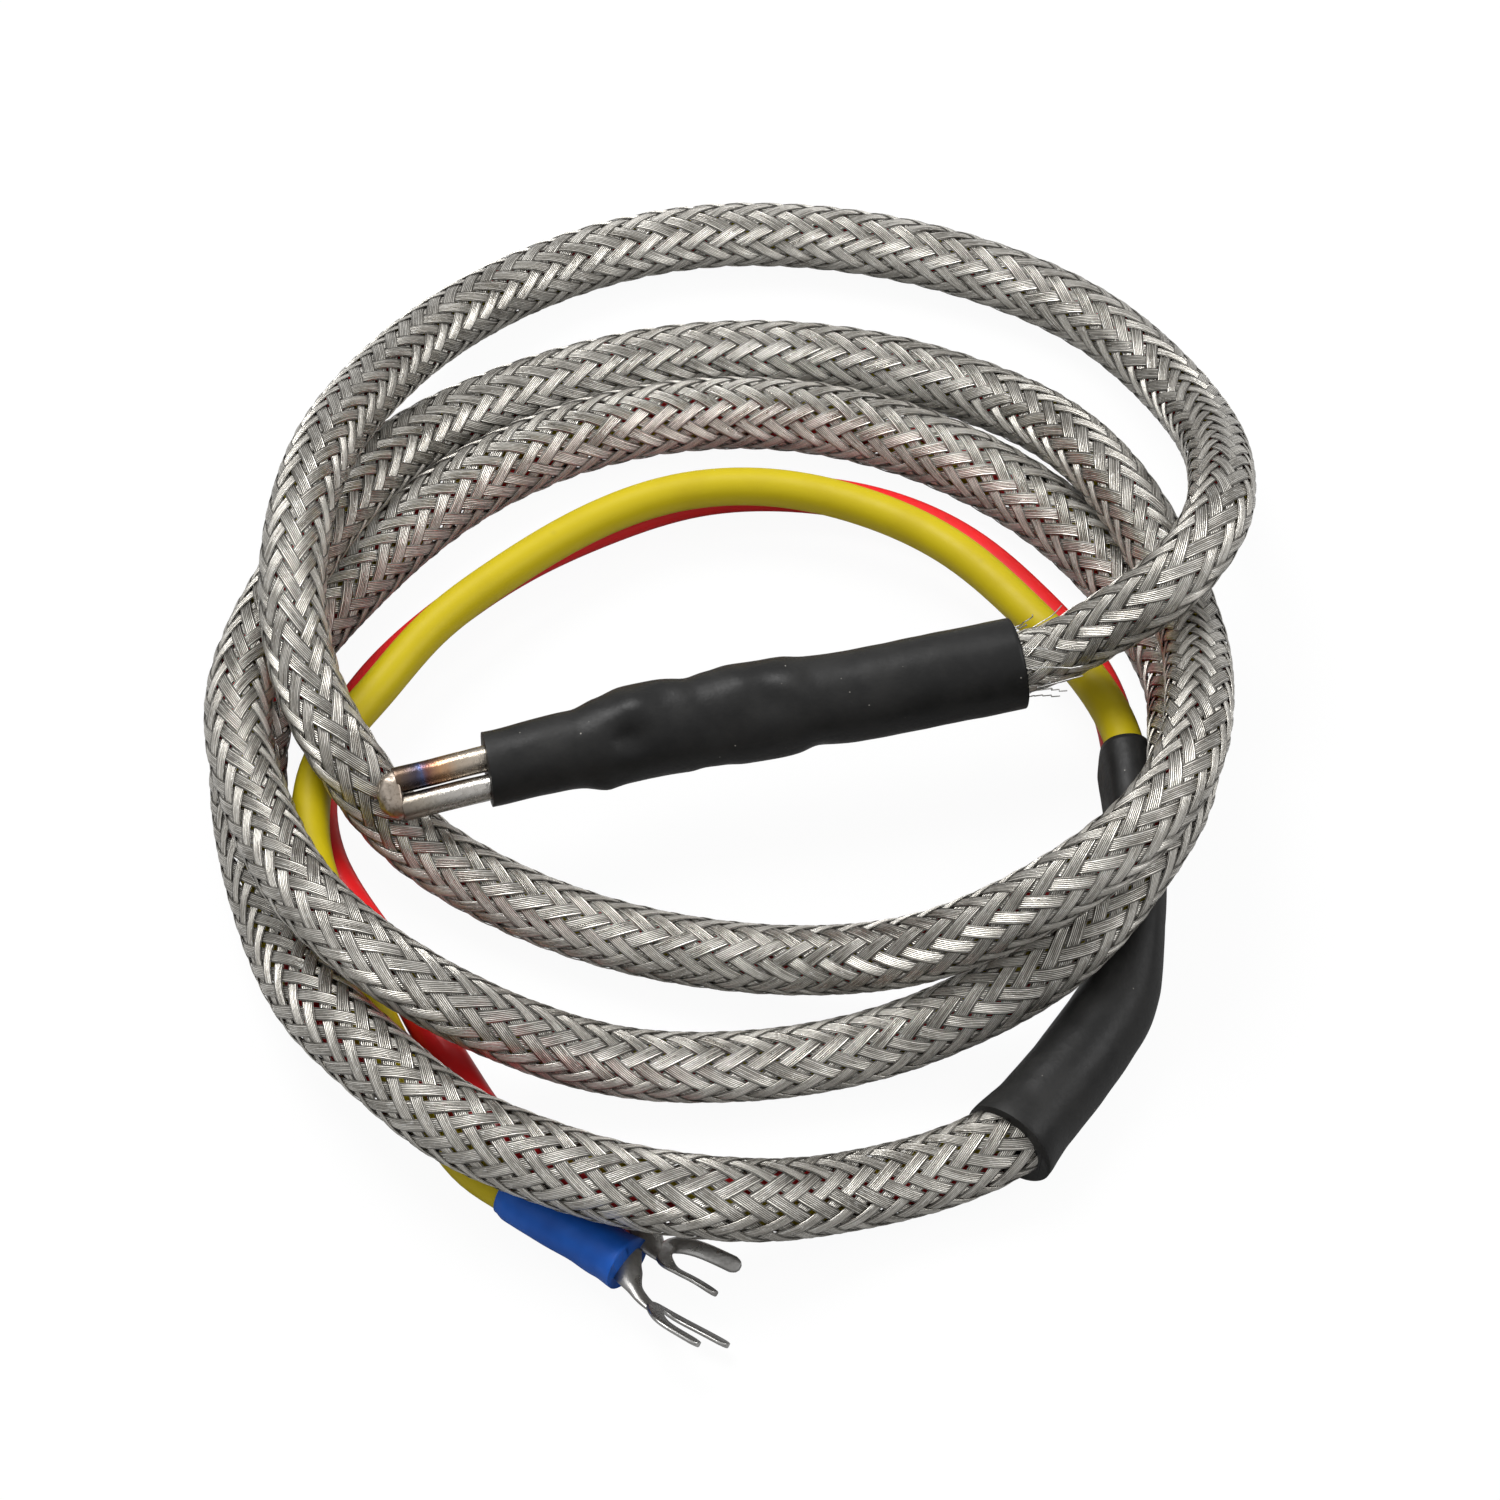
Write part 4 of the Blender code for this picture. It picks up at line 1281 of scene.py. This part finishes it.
def main() -> None:
    """Build the thermocouple from its sub-assemblies, in order."""
    logging.basicConfig(level=logging.INFO, format="%(message)s")
    bpy.context.scene.view_settings.view_transform = "Standard"
    studio = Studio()
    studio.camera()

    braid_finish = BraidFinish().make("woven_braid")
    yellow = InsulationFinish((0.47, 0.37, 0.003), (0.38, 0.285, 0.003)).make("yellow_plastic")
    red = InsulationFinish((0.66, 0.014, 0.016), (0.42, 0.010, 0.012), rough=0.34).make("red_plastic")
    black = SleeveFinish().make("shrink_tube")
    tin = MetalFinish((0.66, 0.655, 0.64), (0.42, 0.41, 0.39)).make("tinned_sheet")
    plate = MetalFinish((0.40, 0.395, 0.385), (0.20, 0.19, 0.18), rough=0.26).make("plated_sheet")
    copper = MetalFinish((0.70, 0.32, 0.18), (0.40, 0.17, 0.10)).make("copper_strands")
    hot = HeatTintFinish((
        (0.0, (0.14, 0.10, 0.075)), (0.14, (0.13, 0.09, 0.065)), (0.26, (0.07, 0.06, 0.08)),
        (0.33, (0.085, 0.105, 0.21)), (0.40, (0.17, 0.08, 0.07)), (0.52, (0.46, 0.26, 0.14)),
        (0.66, (0.44, 0.36, 0.28)), (1.0, (0.54, 0.50, 0.44)),
    )).make("tinted_leg")
    cool = HeatTintFinish((
        (0.0, (0.14, 0.12, 0.10)), (0.25, (0.30, 0.265, 0.22)),
        (0.55, (0.43, 0.41, 0.38)), (1.0, (0.56, 0.54, 0.51)),
    ), rough=0.22).make("bright_leg")
    slag = HeatTintFinish((
        (0.0, (0.24, 0.19, 0.15)), (0.3, (0.48, 0.42, 0.36)), (1.0, (0.24, 0.18, 0.13)),
    ), start=-36.0 * MM, length=6.0 * MM, rough=0.3, dirt=0.9).make("weld_slag")
    blue = BootFinish((0.011, 0.10, 0.46), (0.008, 0.07, 0.34)).make("blue_boot_plastic")
    red_boot = BootFinish((0.60, 0.010, 0.014), (0.34, 0.006, 0.01)).make("red_boot_plastic")

    cable = BraidedCable()
    hands = cable.braid(braid_finish)
    cores = [
        cable.core("yellow_cable_core", 0.0, yellow, "yellow_insulation"),
        cable.core("red_cable_core", pi, red, "red_insulation"),
    ]
    joint = TailSleeve().build(black)
    inner = [
        dress("yellow_tail_core", yellow), dress("red_tail_core", red),
        dress("yellow_tail_crimp", tin), dress("red_tail_crimp", tin),
    ]
    log.info("cable route: %.4f m", cable.route.length)
    [tuple(place) for place in cable.route.points[::3]]
    blue_fork = Fork(
        "blue_fork",
        prongs=in_metres(
            (-14.6, -65.7, 1.2), (-17.2, -62.9, 1.2), (-19.4, -60.6, 1.4), (-20.4, -60.2, 2.4),
            (-20.9, -61.7, 3.8), (-20.6, -63.5, 4.6), (-19.3, -65.2, 4.6), (-17.8, -66.8, 4.4),
        ),
        tilt=Profile(((0.0, -46.0),)),
        neck=in_metres(
            (-22.0, -53.7, 3.1), (-22.3, -56.1, 3.1), (-22.0, -58.5, 3.0), (-21.1, -60.5, 3.0),
            (-20.4, -61.4, 3.0),
        ),
        neck_tilt=Profile(((0.0, 0.0), (0.9, -40.0))),
        neck_width=Profile(((0.0, 1.7 * MM), (0.3, 1.5 * MM), (0.6, 0.85 * MM), (1.0, 0.9 * MM))),
    )
    red_fork = Fork(
        "red_fork",
        prongs=in_metres(
            (-11.2, -57.4, 1.4), (-13.2, -55.6, 1.6), (-15.4, -54.0, 1.8), (-17.2, -53.7, 2.2),
            (-18.2, -54.5, 2.6), (-18.2, -56.1, 2.9), (-16.5, -58.2, 2.9), (-14.5, -60.7, 2.9),
        ),
        tilt=Profile(((0.0, 25.0), (0.42, 20.0), (0.58, -20.0), (0.72, -50.0))),
        neck=in_metres((-19.6, -49.6, 2.9), (-19.4, -51.8, 2.8), (-19.0, -53.7, 2.6), (-18.2, -55.2, 2.6)),
        neck_tilt=Profile(((0.0, -20.0),)),
        neck_width=Profile(((0.0, 1.7 * MM), (0.5, 1.6 * MM), (1.0, 0.95 * MM))),
    )
    yellow_lead = Lead(
        "yellow_lead", "blue_boot", YELLOW_ROUTE, (-31.5 * MM, -43.8 * MM, 2.95 * MM),
        heading=radians(-49.9), roll=radians(-43.0), boot_length=14.7 * MM,
    )
    red_lead = Lead(
        "red_lead", "red_boot", RED_ROUTE, (-27.4 * MM, -39.6 * MM, 2.65 * MM),
        heading=radians(-49.5), roll=radians(-21.0), boot_length=13.0 * MM,
    )
    leads = (
        (yellow_lead, yellow, "yellow_insulation", blue, "blue_conductor", blue_fork),
        (red_lead, red, "red_insulation", red_boot, "red_conductor", red_fork),
    )
    for lead, finish, slot, boot_finish, strands, fork in leads:
        wire, route = lead.build(finish, slot)
        boot = lead.build_boot(boot_finish)
        conductor = dress(strands, copper)
        sheet = fork.build(plate)
        log.info("%s: %.4f m", lead.name, route.length)

    head = ProbeHead()
    head.leg("positive_leg", 1.0, hot, "heat_tinted_steel")
    head.leg("negative_leg", -1.0, cool, "bright_nickel")
    head.bead(slag)
    head.sleeve(black)
    hidden = {"positive_crimp": tin, "negative_crimp": tin, "positive_core": yellow, "negative_core": red}
    for name, finish in hidden.items():
        dress(name, finish)
    cable.stray_wires(tin)
    studio.build()


if __name__ == "__main__":
    main()
